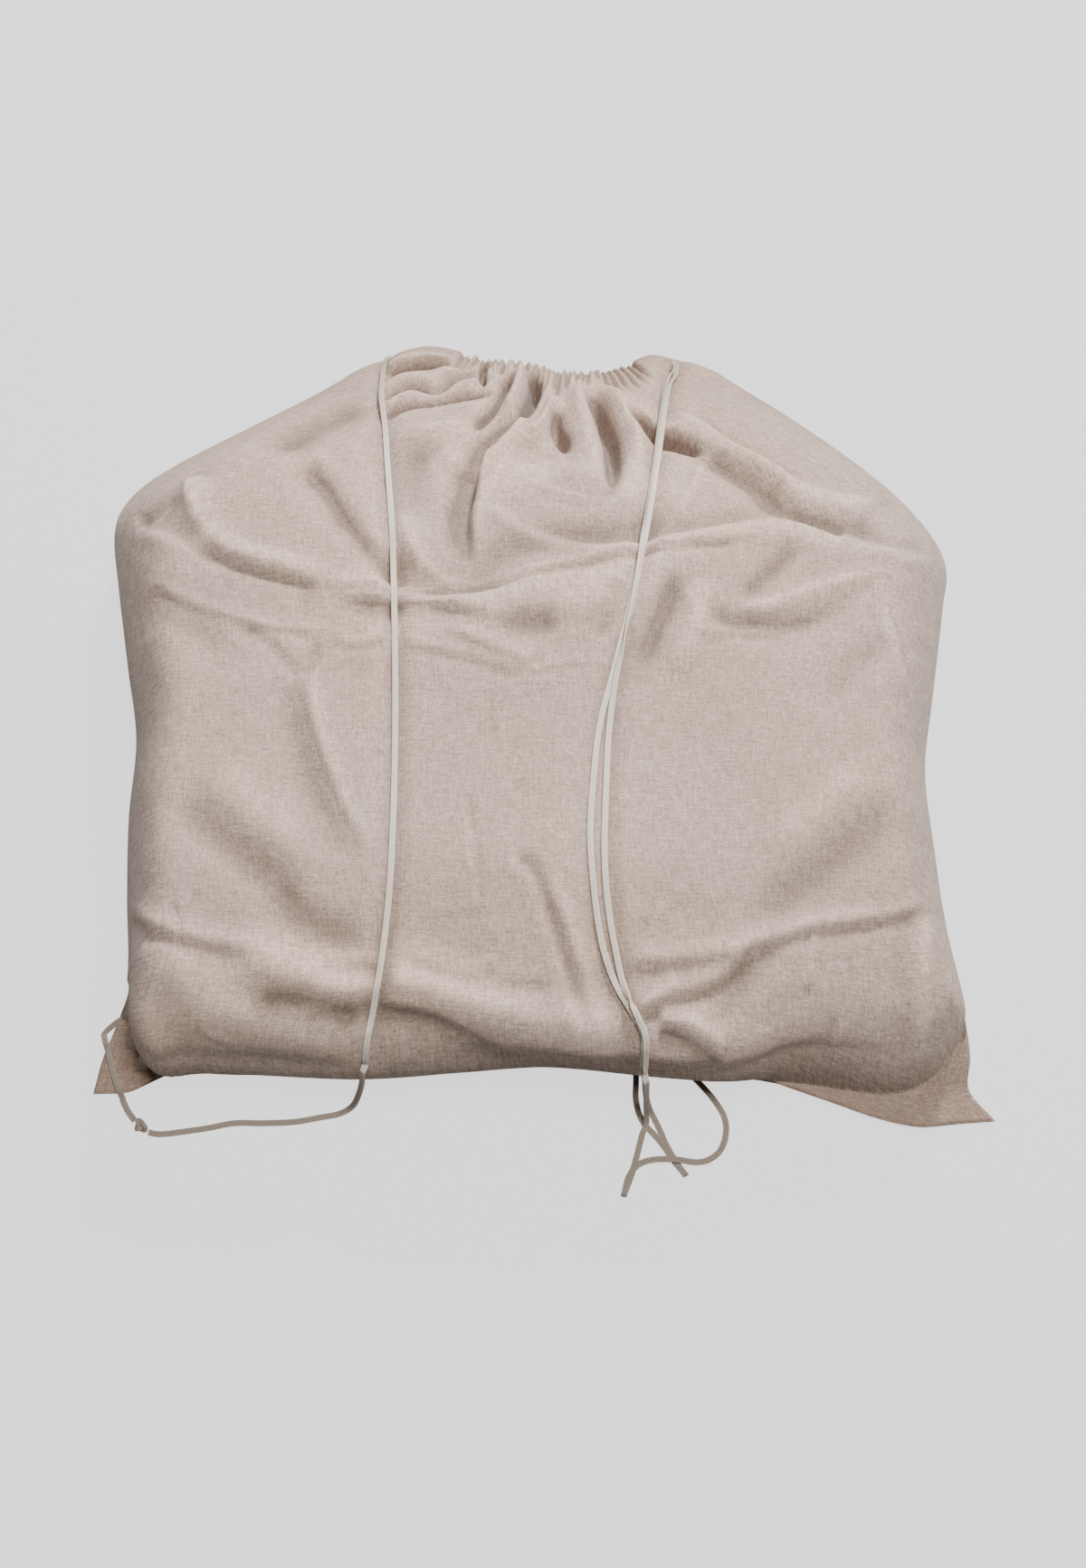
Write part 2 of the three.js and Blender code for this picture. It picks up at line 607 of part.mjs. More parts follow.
function knotGeometry() {
  const knot = new THREE.SphereGeometry(1, 12, 8);
  knot.scale(4.3, 3.4, 2.6);
  knot.rotateZ(THREE.MathUtils.degToRad(-52));
  knot.translate(-206.6 + planShift.x, -231 + planShift.y, 2.65);
  return knot;
}

const naturalCotton = new THREE.MeshStandardMaterial({ color: 0xc6b9ae, roughness: 0.92, metalness: 0 });
const backCotton = new THREE.MeshStandardMaterial({ color: 0xb9aca1, roughness: 0.92, metalness: 0 });
const braidedCotton = new THREE.MeshStandardMaterial({ color: 0xd8ccc0, roughness: 0.85, metalness: 0 });

const bag = new THREE.Group();

function addMesh(name, geometry, material) {
  const mesh = new THREE.Mesh(geometry, material);
  mesh.name = name;
  bag.add(mesh);
  return mesh;
}

const seamColumns = bodyColumns(40);
const backBody = bodyColumns(20);
const frontMouth = mouthColumns(frontGathers, 5);
const backMouth = mouthColumns(backGathers, 3);
const frontCloth = sheetGeometry(panels.front, rowLines, (v) => (v < mouthStart ? seamColumns : frontMouth));
const backColumns = (v) => (v < mouthStart ? backBody : backMouth);
const backCloth = sheetGeometry(panels.back, rowLines, (v) => (v === 0 ? seamColumns : backColumns(v)));
const rightInnerCord = cordGeometry(rightInnerRoute, [frontCloth]);

addMesh('front_panel', frontCloth, naturalCotton);
addMesh('back_panel', backCloth, backCotton);
addMesh('left_cord_front', cordGeometry(leftFrontRoute, [frontCloth]), braidedCotton);
addMesh('left_cord_back', cordGeometry(leftBackRoute, [frontCloth]), braidedCotton);
addMesh('left_cord_knot', knotGeometry(), braidedCotton);
addMesh('right_cord_inner', rightInnerCord, braidedCotton);
addMesh('right_cord_outer', cordGeometry(rightOuterRoute, [frontCloth, rightInnerCord]), braidedCotton);

export default bag;
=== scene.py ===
import math

import bpy
import numpy as np
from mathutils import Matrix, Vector
from mathutils.bvhtree import BVHTree


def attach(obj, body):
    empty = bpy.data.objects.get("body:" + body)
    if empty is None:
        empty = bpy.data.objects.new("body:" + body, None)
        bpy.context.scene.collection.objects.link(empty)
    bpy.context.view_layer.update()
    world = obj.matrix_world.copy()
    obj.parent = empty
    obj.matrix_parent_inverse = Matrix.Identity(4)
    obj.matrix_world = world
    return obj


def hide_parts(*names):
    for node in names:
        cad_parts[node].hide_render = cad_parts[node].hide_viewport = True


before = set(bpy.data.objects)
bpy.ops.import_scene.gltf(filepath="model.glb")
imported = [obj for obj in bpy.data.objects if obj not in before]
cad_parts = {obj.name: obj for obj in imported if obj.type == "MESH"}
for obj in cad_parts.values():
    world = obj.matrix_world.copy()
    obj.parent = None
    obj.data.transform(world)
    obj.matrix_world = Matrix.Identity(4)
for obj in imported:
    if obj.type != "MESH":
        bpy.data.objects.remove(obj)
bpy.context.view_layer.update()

# A stuffed cotton drawstring bag that lies on its back: two cloth panels and two flat braided drawstrings.
# Tables and surface formulas are in millimetres, +X right, +Y towards the gathered mouth, +Z up.

millimetre = 0.001
planShift = np.array([4.41, -3.23, 0.0])  # from the tables' own middle to the part's


# Number helpers

def tableOf(names, rows):
    return dict(zip(names, np.array(rows, float).T))


# Smooth step from 0 at low to 1 at high.
def ease(low, high, value):
    t = np.clip((value - low) / (high - low), 0, 1)
    return t * t * (3 - 2 * t)


# The same directions with length 1.
def unit(vectors):
    return vectors / np.linalg.norm(vectors, axis=-1, keepdims=True)


# Height of a rounded edge: 1 - (1 - t) to the power roundness, between 0 and 1.
def roundedEdge(t, roundness):
    return 1 - (1 - np.clip(t, 0, 1)) ** roundness


# A smooth curve through one column of a table, by cubic Hermite pieces with central slopes.
def readColumn(table, key, name, at):
    knots, values = table[key], table[name]
    last = len(knots) - 1
    steps = np.arange(last + 1)
    before, after = np.maximum(steps - 1, 0), np.minimum(steps + 1, last)
    slopes = (values[after] - values[before]) / (knots[after] - knots[before])
    i = np.clip(np.searchsorted(knots, at, side="right") - 1, 0, last - 1)
    step = knots[i + 1] - knots[i]
    t = (at - knots[i]) / step
    blend = t * t * (3 - 2 * t)
    bend = t * (1 - t) ** 2 * slopes[i] - t * t * (1 - t) * slopes[i + 1]
    return values[i] * (1 - blend) + values[i + 1] * blend + step * bend


# A smooth line through points, by Catmull-Rom spans.
def smoothLine(points, perSpan):
    p = np.asarray(points, float)
    around = np.vstack([p[:1], p, p[-1:]])
    t = np.linspace(0, 1, perSpan, endpoint=False)[:, None]
    spans = []
    for a, b, c, d in zip(around[:-3], around[1:-2], around[2:-1], around[3:]):
        start, end = (c - a) / 2, (d - b) / 2
        spans.append((2 * (b - c) + start + end) * t**3 + (3 * (c - b) - 2 * start - end) * t**2 + start * t + b)
    return np.vstack([*spans, p[-1:]])


# Signed distance of plan places to a line, positive on its left, and how far along it their nearest point is.
def nearestOnLine(line, x, y):
    best = np.full(x.shape, np.inf)
    side = np.ones(x.shape)
    along = np.zeros(x.shape)
    runs = np.hypot(*(line[1:] - line[:-1]).T)
    marks = np.concatenate([[0], np.cumsum(runs)]) / runs.sum()
    for i in range(len(line) - 1):
        dx, dy = line[i + 1] - line[i]
        ox, oy = x - line[i, 0], y - line[i, 1]
        t = np.clip((ox * dx + oy * dy) / (dx * dx + dy * dy), 0, 1)
        distance = np.hypot(ox - t * dx, oy - t * dy)
        nearer = distance < best
        best = np.where(nearer, distance, best)
        side = np.where(nearer, np.where(dx * oy - dy * ox >= 0, 1.0, -1.0), side)
        along = np.where(nearer, marks[i] + t * (marks[i + 1] - marks[i]), along)
    return best * side, along


# Average along the first axis with a bell-shaped window.
def smoothed(values, reach):
    kernel = np.hanning(2 * reach + 3)[1:-1]
    kernel /= kernel.sum()
    padded = np.concatenate([np.repeat(values[:1], reach, 0), values, np.repeat(values[-1:], reach, 0)])
    if values.ndim == 1:
        return np.convolve(padded, kernel, "valid")
    return np.stack([np.convolve(padded[:, k], kernel, "valid") for k in range(values.shape[1])], 1)


# Seeded smooth noise between -1 and 1, with one random value at each corner of a square cell, out to a reach.
def valueNoise(x, y, cell, seed, reach=1000):
    column, row = (x + reach) / cell, (y + reach) / cell
    i, j = column.astype(int), row.astype(int)
    count = int(2 * reach / cell) + 3
    values = np.random.default_rng(seed).uniform(-1, 1, (count, count))
    s, t = column - i, row - j
    s, t = s * s * s * (s * (6 * s - 15) + 10), t * t * t * (t * (6 * t - 15) + 10)
    low = values[i, j] * (1 - s) + values[i + 1, j] * s
    high = values[i, j + 1] * (1 - s) + values[i + 1, j + 1] * s
    return low * (1 - t) + high * t


# The bag's outline

# Side seams and the swell of the front panel, from the ear tips (v 0) to the mouth (v 1).
stations = tableOf(("v", "leftX", "leftY", "rightX", "rightY", "seamZ", "crown", "wall"), [
    (0.0, -232.4, -214, 232.5, -229.5, 2.3, 54, 34),
    (0.045, -228, -196, 219.5, -214, 6.5, 54, 34),
    (0.09, -220.5, -181, 219.5, -198, 16, 54, 34),
    (0.14, -213, -163, 215.5, -177, 28, 54, 35),
    (0.24, -215, -120, 207.2, -135, 37, 55, 36),
    (0.34, -217.5, -75, 204, -92, 38, 55, 37),
    (0.44, -217.2, -30, 202.6, -48, 38, 55, 38),
    (0.54, -225.5, 15, 210.5, -2, 38, 55, 40),
    (0.64, -235, 66, 220, 51, 38, 53, 48),
    (0.7, -240, 98, 224, 77, 37, 48, 60),
    (0.755, -236, 120, 216.5, 102, 34, 40, 70),
    (0.8, -220, 141, 197, 132, 30, 33, 72),
    (0.87, -174, 175.5, 158, 173, 24, 23, 60),
    (0.94, -125, 210.5, 114, 211.5, 17, 11, 42),
    (1.0, -88, 233, 77, 230, 12, 5, 22),
])
# The bottom seam, tucked in under the body and out on the surface at the two ears; wallY is where the wall starts.
bottomSeam = tableOf(("u", "y", "z", "wallY"), [
    (-1.0, -214, 2.3, -206),
    (-0.92, -213, 3, -206),
    (-0.85, -206, 6, -205),
    (-0.73, -201, 9, -201),
    (-0.26, -200.5, 10, -200.5),
    (0.0, -200, 10, -200),
    (0.26, -203.5, 10, -203.5),
    (0.41, -205.5, 9, -205.5),
    (0.52, -209.5, 6, -207),
    (0.63, -218, 3.5, -209),
    (0.74, -227, 2.6, -213),
    (0.83, -231.5, 2.5, -215),
    (0.91, -230, 2.5, -216),
    (1.0, -228.5, 2.3, -216),
])
mouthEdge = tableOf(("u", "y", "z"), [
    (-1.0, 0, 0),
    (-0.85, 3.9, 3),
    (-0.7, 4, 5),
    (-0.45, 1.5, 3),
    (-0.2, 0.8, 1),
    (0.07, -2.2, 0),
    (0.32, -4.8, 0),
    (0.58, -3.1, 0),
    (0.72, -0.4, 1),
    (0.84, 2.3, 2.5),
    (1.0, 1.7, 0),
])

body = {
    "earTop": 0.14,
    "earWallLeft": -212,
    "earWallRight": 216,
    "cornerLeft": 26,
    "cornerRight": 44,
    "backWall": 44,
    "backWidening": 1.4,
    "roundness": 2.6,
    "lowFullY": -205,
    "lowNoneY": -130,
    "bottomSharpness": 0.8,
    "bottomNarrowing": 0.42,
    "bottomFilling": 0.55,
    "fillingLoss": 0.85,
    "lossFromX": 50,
    "lossToX": 125,
    "fullestLevel": 37,
    "bottomReach": 0.3,
    "mouthReach": 0.9,
    "seamGap": 0.6,
    "clothThickness": 1.6,
    "casingStart": 0.945,
    "casingThickness": 2.2,
}
flatCorner = {"x": 216, "y": -216, "reach": 150, "sink": 0.42, "spread": 12}
bulge = {"low": 9, "high": 108, "fullY": -200, "noneY": -138}
# How far the bottom wall bulges out over its seam, across the bag.
bulgeDepth = tableOf(("x", "depth"), [
    (-212, 0), (-197, 9), (-180, 10), (-162, 12.5), (-144, 13.5), (-126, 15), (-108, 16), (-90, 16), (-72, 14.5),
    (-54, 12.5), (-36, 10.5), (-18, 8), (0, 6), (18, 6.5), (36, 8), (54, 9.5), (72, 10.5), (90, 11), (104, 8.5),
    (118, 3), (130, 0),
])
# How far the brow over the bottom wall stands out, across the bag.
brow = {"lowZ": 45, "fullZ": 70, "fullY": -205, "noneY": -140}
browDepth = tableOf(("x", "depth"), [
    (-212, 0), (-196, 6), (-160, 9), (-118, 9), (-102, 6), (-88, 1), (-70, 0), (-45, 3), (-20, 8), (0, 11),
    (24, 12), (60, 11), (100, 10), (140, 9), (175, 7), (200, 3), (216, 0),
])


# Distance inside a corner of the body that is rounded by a radius.
def cornerDistance(across, along, radius):
    rounded = radius - np.hypot(radius - across, radius - along)
    return np.where((across < radius) & (along < radius), rounded, np.minimum(across, along))


# Plan place, seam level, distance inside the body, swell and wall width at u (side to side) and v (bottom to mouth).
def layout(u, v):
    def at(name):
        return readColumn(stations, "v", name, v)

    half = (u + 1) / 2
    leftX, rightX = at("leftX"), at("rightX")
    x = leftX + (rightX - leftX) * half
    first = {name: values[0] for name, values in stations.items()}
    straightY = first["leftY"] + (first["rightY"] - first["leftY"]) * half
    bottomLift = (readColumn(bottomSeam, "u", "y", u) - straightY) * np.maximum(1 - v / body["bottomReach"], 0) ** 2
    mouthFade = ease(body["mouthReach"], 1, v)
    y = at("leftY") + (at("rightY") - at("leftY")) * half + bottomLift + readColumn(mouthEdge, "u", "y", u) * mouthFade
    earFade = np.maximum(1 - v / body["earTop"], 0) ** 2
    seamZ = (at("seamZ") + (readColumn(bottomSeam, "u", "z", u) - first["seamZ"]) * earFade
             + readColumn(mouthEdge, "u", "z", u) * mouthFade)
    inEar = v < body["earTop"]
    wallLeft = np.where(inEar, np.maximum(leftX, body["earWallLeft"]), leftX)
    wallRight = np.where(inEar, np.minimum(rightX, body["earWallRight"]), rightX)
    across = np.minimum(x - wallLeft, wallRight - x)
    radius = np.where(x < 0, body["cornerLeft"], body["cornerRight"])
    inside = cornerDistance(across, y - readColumn(bottomSeam, "u", "wallY", u), radius)
    flatness = 1 - ease(0, flatCorner["reach"], np.hypot(x - flatCorner["x"], y - flatCorner["y"]))
    crown = at("crown") * (1 - flatCorner["sink"] * flatness)
    wall = at("wall") + flatCorner["spread"] * flatness
    return {"x": x, "y": y, "seamZ": seamZ, "inside": inside, "crown": crown, "wall": wall}


# The bottom wall bulges out over its tucked seam: y loses the depth times sin(pi * level to the power 0.7). Above it
# the brow, where the top turns down into the wall, goes out too.
def bulgeOut(x, y, z):
    def depthAt(table):
        return readColumn(table, "x", "depth", np.clip(x, table["x"][0], table["x"][-1]))

    level = np.clip((z - bulge["low"]) / (bulge["high"] - bulge["low"]), 0, 1)
    belly = depthAt(bulgeDepth) * (1 - ease(bulge["fullY"], bulge["noneY"], y)) * np.sin(np.pi * level**0.7)
    over = depthAt(browDepth) * (1 - ease(brow["fullY"], brow["noneY"], y)) * ease(brow["lowZ"], brow["fullZ"], z)
    return y - belly - over


# Height of the front before its folds: seam level + crown * rounded edge of the distance inside. Low down the wall
# is narrower and sharper, and the filling makes up for part of the lower seam, most of it in the middle.
def frontBase(place):
    low = 1 - ease(body["lowFullY"], body["lowNoneY"], place["y"])
    wall = place["wall"] * (1 - body["bottomNarrowing"] * low)
    loss = body["fillingLoss"] * ease(body["lossFromX"], body["lossToX"], np.abs(place["x"]))
    filling = body["bottomFilling"] * (1 - loss)
    crown = place["crown"] + filling * np.maximum(body["fullestLevel"] - place["seamZ"], 0) * low
    rise = crown * roundedEdge(place["inside"] / wall, body["roundness"] + body["bottomSharpness"] * low)
    return place["seamZ"] + body["seamGap"] / 2 + rise


# Height of the back: it rounds down from the seam to the surface that the bag lies on.
def backBase(place):
    top = place["seamZ"] - body["seamGap"] / 2
    width = np.minimum(body["backWall"], place["wall"] * body["backWidening"])
    return top - (top - body["clothThickness"]) * roundedEdge(place["inside"] / width, body["roundness"])


# Cord routes

# Routes as x, y and the height of the cord's middle, which is left out where the cord lies on the cloth.
leftFrontRoute = [
    (-91.5, 227.5), (-93.5, 217), (-93.5, 190), (-90, 163), (-86, 123), (-81, 75), (-78, 26), (-76, -25), (-75, -72),
    (-75, -110), (-76, -137), (-79, -168), (-82, -186), (-85, -199), (-87, -208), (-89, -215, 50), (-91, -217, 34),
    (-94, -219, 18), (-98, -221.5, 6), (-105, -224, 0.7), (-115, -226, 0.7), (-128, -228.3, 0.7),
    (-144, -229, 0.7), (-159, -229, 0.7), (-172, -231.5, 0.7), (-186, -233.6, 0.7), (-197, -234.8, 0.7),
    (-203.1, -233.6, 0.9),
]
leftBackRoute = [
    (-209.9, -228.1, 0.9), (-214.5, -222, 3.2), (-218.5, -213), (-222, -204), (-224.6, -195), (-226.6, -187.5, 15),
    (-227, -182.5, 9.5), (-224.5, -177, 4), (-218, -168, 0.7), (-213, -140, 0.7), (-212, -90, 0.7),
    (-213, -30, 0.7), (-222, 30, 0.7), (-229, 80, 0.7), (-227, 112, 0.7), (-206, 141, 0.7), (-168, 167.5, 0.7),
    (-132, 195, 0.7), (-113, 211, 0.7),
    (-102, 224, 2.5), (-95, 231.5, 6),
]
rightInnerRoute = [
    (79, 224), (78, 214), (72.5, 196), (64.5, 136), (55.5, 73), (47, 29), (36.5, -14), (29, -45), (25.5, -75),
    (23.5, -105), (25, -134), (29, -162), (35, -180), (43, -194), (48.5, -204), (49.3, -211), (50.2, -219, 50),
    (51.4, -219.5, 33), (52.6, -220, 18), (54.6, -222.5, 5), (57.5, -227, 0.7), (60, -232.5, 0.7), (63, -240, 0.7),
    (67.5, -248.5, 0.7),
    (72.2, -255.4, 0.7), (73, -256.6, 1.58), (72, -255.6, 2.45), (66.5, -248.8, 2.45), (61.5, -241, 2.45),
    (56.5, -234.5, 1.4), (52.5, -230, 0.7), (49.5, -224, 0.7), (48, -216, 0.7), (48.2, -209, 0.7),
    (48.4, -202.8, 0.7),
]
rightOuterRoute = [
    (77.2, 223), (76.5, 214), (71, 196), (63, 136), (54.5, 73), (48, 29), (38.5, -14), (34, -45), (32, -75),
    (30.5, -115), (32, -143), (36.5, -170), (40, -184), (45.5, -197), (49.5, -206), (50.2, -213), (50.8, -221.5, 53),
    (51.8, -222, 36), (52.4, -223.5, 20), (53, -226, 8), (52.8, -231, 2.45), (51, -235, 2.45), (48, -246, 1.05),
    (45, -256, 0.7),
    (41.2, -265.8, 0.7), (40.8, -267.2, 1.58), (41.4, -265.6, 2.45), (43.5, -257.5, 2.45), (48.5, -251, 2.45),
    (57, -248.6, 3.5), (68, -248.8, 4.2), (78, -249.8, 2.45), (85, -248, 1.05), (91, -243, 0.7), (94, -234.5, 0.7),
    (93.5, -226, 0.7), (89, -217.5, 0.7), (83.5, -210.5, 0.7), (78, -204.5, 0.7), (71.5, -199, 0.7), (64, -196.3, 0.7),
    (57, -195.4, 0.7), (52.2, -196.4, 0.7), (49.4, -199.2, 0.7), (48.5, -202.2, 0.7),
]


# Folds of the front

# Each fold runs along a smooth line of plan points. left and right are its widths on the two sides of the line,
# rise its height, roll a height on the left with an equal dip on the right, sharp the power of its falling off,
# and start and end the shares of its length over which it fades in and out. A row may leave out its last values
# where they are the usual ones.
foldColumns = ("line", "left", "right", "rise", "roll", "sharp", "start", "end")
usualFold = {"roll": 0, "sharp": 2, "start": 0.3, "end": 0.3}
lineSteps = 6  # points between two of a table's own, on the lines of folds, pleats and pressing cords
foldReach = {"margin": 4, "overrun": 0.02}
frontFolds = [{**usualFold, **dict(zip(foldColumns, row))} for row in [
    # Creases beside the left cord, below the mouth
    ([(-92, 211), (-80, 216), (-67, 219), (-54, 217), (-48, 224)], 4, 2.6, -2, 2.8, 1.6, 0.1),
    ([(-93, 188), (-79, 196), (-63, 194), (-53, 203), (-45, 211), (-38, 219)], 6, 2.8, -4.6, 4.4, 1.6, 0.1, 0.25),
    ([(-92, 174), (-78, 182), (-63, 185), (-42, 191), (-27, 197)], 5, 2.6, -3.2, 4, 1.6, 0.1, 0.2),
    ([(-85, 183), (-68, 186), (-52, 189)], 2.5, 2.5, 1.2),
    ([(-32, 226), (-35, 217), (-35, 204), (-35, 196)], 2, 2.2, -5.5, 0, 1.8, 0.1, 0.2),
    ([(-20, 209), (-21, 196), (-28, 177), (-35, 165), (-40, 155)], 3, 3.4, -8.5, 0.8, 1.8, 0.15),
    ([(-28, 227), (-28, 208), (-23, 200)], 3, 3, 2),
    ([(-79, 152), (-66, 153), (-51, 156), (-41, 159)], 7, 6, 3.4),
    # Ridges and pockets of the neck
    ([(-13, 220), (-12, 204), (-17, 176), (-27, 156)], 6.5, 5.6, 6.5, 0, 2, 0.2, 0.35),
    ([(-6, 217), (-5, 202), (-9, 182), (-15, 163)], 4, 4.8, -15, 0, 2, 0.15),
    ([(-12, 171), (-21, 155), (-29, 141), (-36, 122)], 2.4, 6, -6, 3, 1.6, 0.15, 0.15),
    ([(-35, 130), (-38, 104), (-41, 86), (-40, 65), (-37, 45)], 3, 11, -10, 1.6, 1.8, 0.15, 0.5),
    ([(6, 189), (4, 171), (-3, 152), (-15, 143), (-26, 126), (-32, 116), (-34, 101), (-31, 89)],
     4.6, 3.2, 6, 0, 2, 0.15, 0.2),
    ([(-31, 92), (-19, 77), (0, 66), (19, 63), (38, 61)], 4, 5, 2.6, 0, 2, 0.2, 0.4),
    ([(7, 176), (7, 160), (11, 147), (14, 132)], 3.4, 3.4, -9, 0, 2, 0.2, 0.4),
    ([(20, 214), (22, 172), (25, 145), (28, 123), (22, 101)], 7, 7, 6, 0, 2, 0.2, 0.4),
    ([(25, 196), (31, 177), (36, 159), (39, 134), (37, 92)], 4.4, 4.4, -11, 0, 2, 0.2, 0.35),
    ([(34, 204), (44, 179), (50, 162), (53, 134), (49, 102)], 6, 5.6, 5.4, 0, 2, 0.2, 0.5),
    ([(50, 177), (60, 166), (73, 154), (91, 138)], 3.4, 5.6, -11, 1.4, 1.8, 0.2),
    ([(82, 147), (101, 125), (119, 106), (133, 81)], 7, 8, -4.5),
    ([(74, 175), (97, 146), (125, 116), (148, 88)], 6, 7, 3, 0, 2, 0.2),
    ([(79, 178), (102, 150), (121, 130), (136, 115), (150, 98)], 3, 3, -0.3, -0.8, 1.6, 0.2),
    ([(92, 136), (79, 97), (66, 75)], 1.8, 1.8, 1.3, 0, 1.8, 0.2, 0.2),
    ([(-8, 101), (5, 96), (20, 92), (31, 90)], 3.4, 2.6, -0.4, 1.1, 1.6, 0.2),
    # Hollows left of the neck, and the great crest across the bag
    ([(-132, 136), (-125, 117), (-118, 107), (-108, 84), (-95, 62), (-83, 45)], 5.5, 4, -4, 1, 1.6, 0.2, 0.2),
    ([(-93, 58), (-80, 42), (-63, 34), (-45, 34), (-26, 37), (-7, 42)], 16, 6, -5.5, 0, 2, 0.25),
    ([(-136, 131), (-118, 96), (-96, 62)], 16, 10, -2.5),
    ([(-79, 88), (-71, 64), (-61, 47), (-46, 38), (-28, 38)], 4, 5, 2.6, 0, 2, 0.2),
    ([(-129, 40), (-112, 36), (-95, 33), (-77, 30), (-48, 30), (-19, 34), (10, 41), (29, 45)], 10, 9, 3.4, 0.8, 1.8),
    ([(-114, 27), (-95, 26), (-78, 25), (-57, 23), (-33, 16), (-9, 11)], 4, 9, -4.2, 1.6, 1.8, 0.25, 0.45),
    ([(-19, 39), (0, 44), (24, 49), (48, 54), (67, 57), (91, 61), (112, 64)], 2.2, 2.2, -2.2, 1.4, 1.5, 0.15, 0.15),
    ([(-120, 33), (-95, 33), (-77, 31), (-48, 32), (-19, 37), (0, 42)], 2.2, 2, -2.6, 0.8, 1.6, 0.25, 0.2),
    ([(-115, 18), (-80, 14), (-40, 17), (0, 25), (40, 33), (80, 42)], 13, 14, 3.6, 0, 2, 0.25),
    ([(-62, 104), (-30, 112), (10, 110), (50, 106), (88, 104)], 16, 18, 3.6),
    ([(-60, 62), (-25, 58), (10, 66), (50, 78), (85, 84)], 14, 10, -3),
    # Right crest and the facets below it
    ([(-5, 73), (19, 65), (48, 64), (77, 71), (104, 78), (125, 84)], 12, 3.4, -3, 0, 2, 0.3, 0.2),
    ([(19, 54), (48, 58), (77, 64), (104, 72), (125, 74), (152, 68), (181, 59)], 7, 12, 3.2, 0, 2, 0.2),
    ([(126, 88), (141, 80), (161, 68)], 6, 3, -5.5, -1, 1.8, 0.3, 0.2),
    ([(161, 70), (173, 83), (198, 118)], 4, 4, -1.6, 0, 1.6, 0.2),
    ([(161, 69), (175, 64), (192, 62), (215, 73)], 4, 5, -0.6, -1.2, 1.6, 0.2),
    ([(101, 22), (114, 21), (133, 28), (157, 37), (184, 44)], 5, 5, 3, 0.5, 1.8, 0.15, 0.4),
    ([(81, 34), (94, 16), (118, 11), (142, 16), (169, 31)], 5, 7, -3, 0, 2, 0.3, 0.4),
    ([(77, 4), (99, 6), (126, 5)], 3, 2.4, -0.2, 0.8, 1.5, 0.2, 0.2),
    ([(137, 67), (124, 50), (111, 35), (103, 25)], 6, 6, -2.6, 0, 2, 0.2, 0.2),
    ([(102, 62), (105, 48), (102, 31)], 3, 4, 1.2),
    ([(71, 43), (65, 24), (58, 6), (52, -13)], 5, 5, -2.2, 0.6, 1.8, 0.2),
    ([(77, 37), (81, 17), (77, 1)], 6, 6, 1),
    ([(177, 34), (182, 8), (185, -11), (190, -28)], 2.4, 3.4, 1.2, -0.7, 1.6),
    ([(58, 50), (70, 53), (81, 52)], 2.6, 2.2, -0.2, 0.7, 1.5),
    # Shoulders, and the broad slanting valleys and ridges
    ([(-199, 125), (-188, 84), (-175, 64), (-155, 50), (-128, 41), (-100, 35)], 12, 3.6, 2.2, 0, 2, 0.2),
    ([(-156, 131), (-131, 162), (-94, 193)], 12, 12, -4.5),
    ([(-222, 84), (-208, 91), (-196, 97)], 10, 8, -3, 0, 2, 0.2),
    ([(109, 105), (137, 86), (165, 75), (195, 76)], 8, 8, -3),
    ([(101, 140), (129, 112), (162, 95), (195, 103)], 8, 8, 3.5),
    ([(74, 46), (62, 18), (49, -12), (43, -35)], 8, 8, -3, 0, 2, 0.2, 0.4),
    ([(86, 40), (79, 12), (67, -20)], 7, 7, 3, 0, 2, 0.2, 0.4),
    ([(-189, -76), (-164, -106), (-134, -130), (-116, -144)], 11, 11, -4),
    ([(-170, -64), (-143, -94), (-113, -120)], 12, 12, 2.2),
    ([(182, -83), (155, -112), (125, -135), (93, -153)], 12, 12, -3.2),
    ([(165, -66), (139, -92), (106, -118)], 12, 12, 2.4),
    ([(180, 6), (159, -13), (138, -42)], 10, 10, -2.6, 0, 2, 0.3, 0.4),
    ([(-212, 41), (-182, 12), (-154, -16)], 12, 12, -2.6, 0, 2, 0.3, 0.4),
    ([(-130, -18), (-114, -62), (-94, -111), (-87, -138)], 9, 12, -1, 0.8),
    ([(-28, 13), (-5, 12), (9, 22)], 9, 8, -3),
    ([(-66, 156), (-72, 118), (-63, 74)], 10, 14, -4),
    ([(0, 118), (20, 103), (44, 100)], 9, 9, -3.4),
    # Left pad, and the creases and facets below it
    ([(-211, 78), (-197, 68), (-183, 59)], 8, 4, -1.4, -1.6, 1.6, 0.05),
    ([(-194, 121), (-191, 89), (-184, 66), (-173, 54)], 7, 5, 1.4, 0.6, 1.8, 0.25),
    ([(-189, 63), (-167, 51), (-148, 44), (-126, 37), (-116, 33)], 7, 2.8, -1, 1.8, 1.6, 0.2, 0.2),
    ([(-174, 56), (-147, 47), (-124, 40)], 7, 6, 2),
    ([(-201, 115), (-180, 119)], 6, 6, -1.2),
    ([(-212, 42), (-189, 28), (-172, 20), (-155, 14), (-141, 10), (-120, 7), (-107, 5)],
     2.4, 2.4, 0.8, 0.6, 1.5, 0.15, 0.2),
    ([(-159, 12), (-141, 7), (-117, 4)], 2, 2, -0.5, 0.5, 1.5, 0.2, 0.2),
    ([(-159, 12), (-141, 0), (-124, -19)], 4, 3, -0.8, 0.9, 1.5, 0.2, 0.1),
    ([(-123, -19), (-117, -6), (-114, 2)], 3, 3, -0.9, -0.7, 1.5, 0.1, 0.2),
    ([(-122, -19), (-113, -9), (-107, 0)], 2.4, 2.4, -0.7, -0.4, 1.5, 0.1, 0.2),
    ([(-110, 1), (-98, -2), (-80, 3)], 2.6, 2.4, -0.3, 0.8, 1.5, 0.2, 0.2),
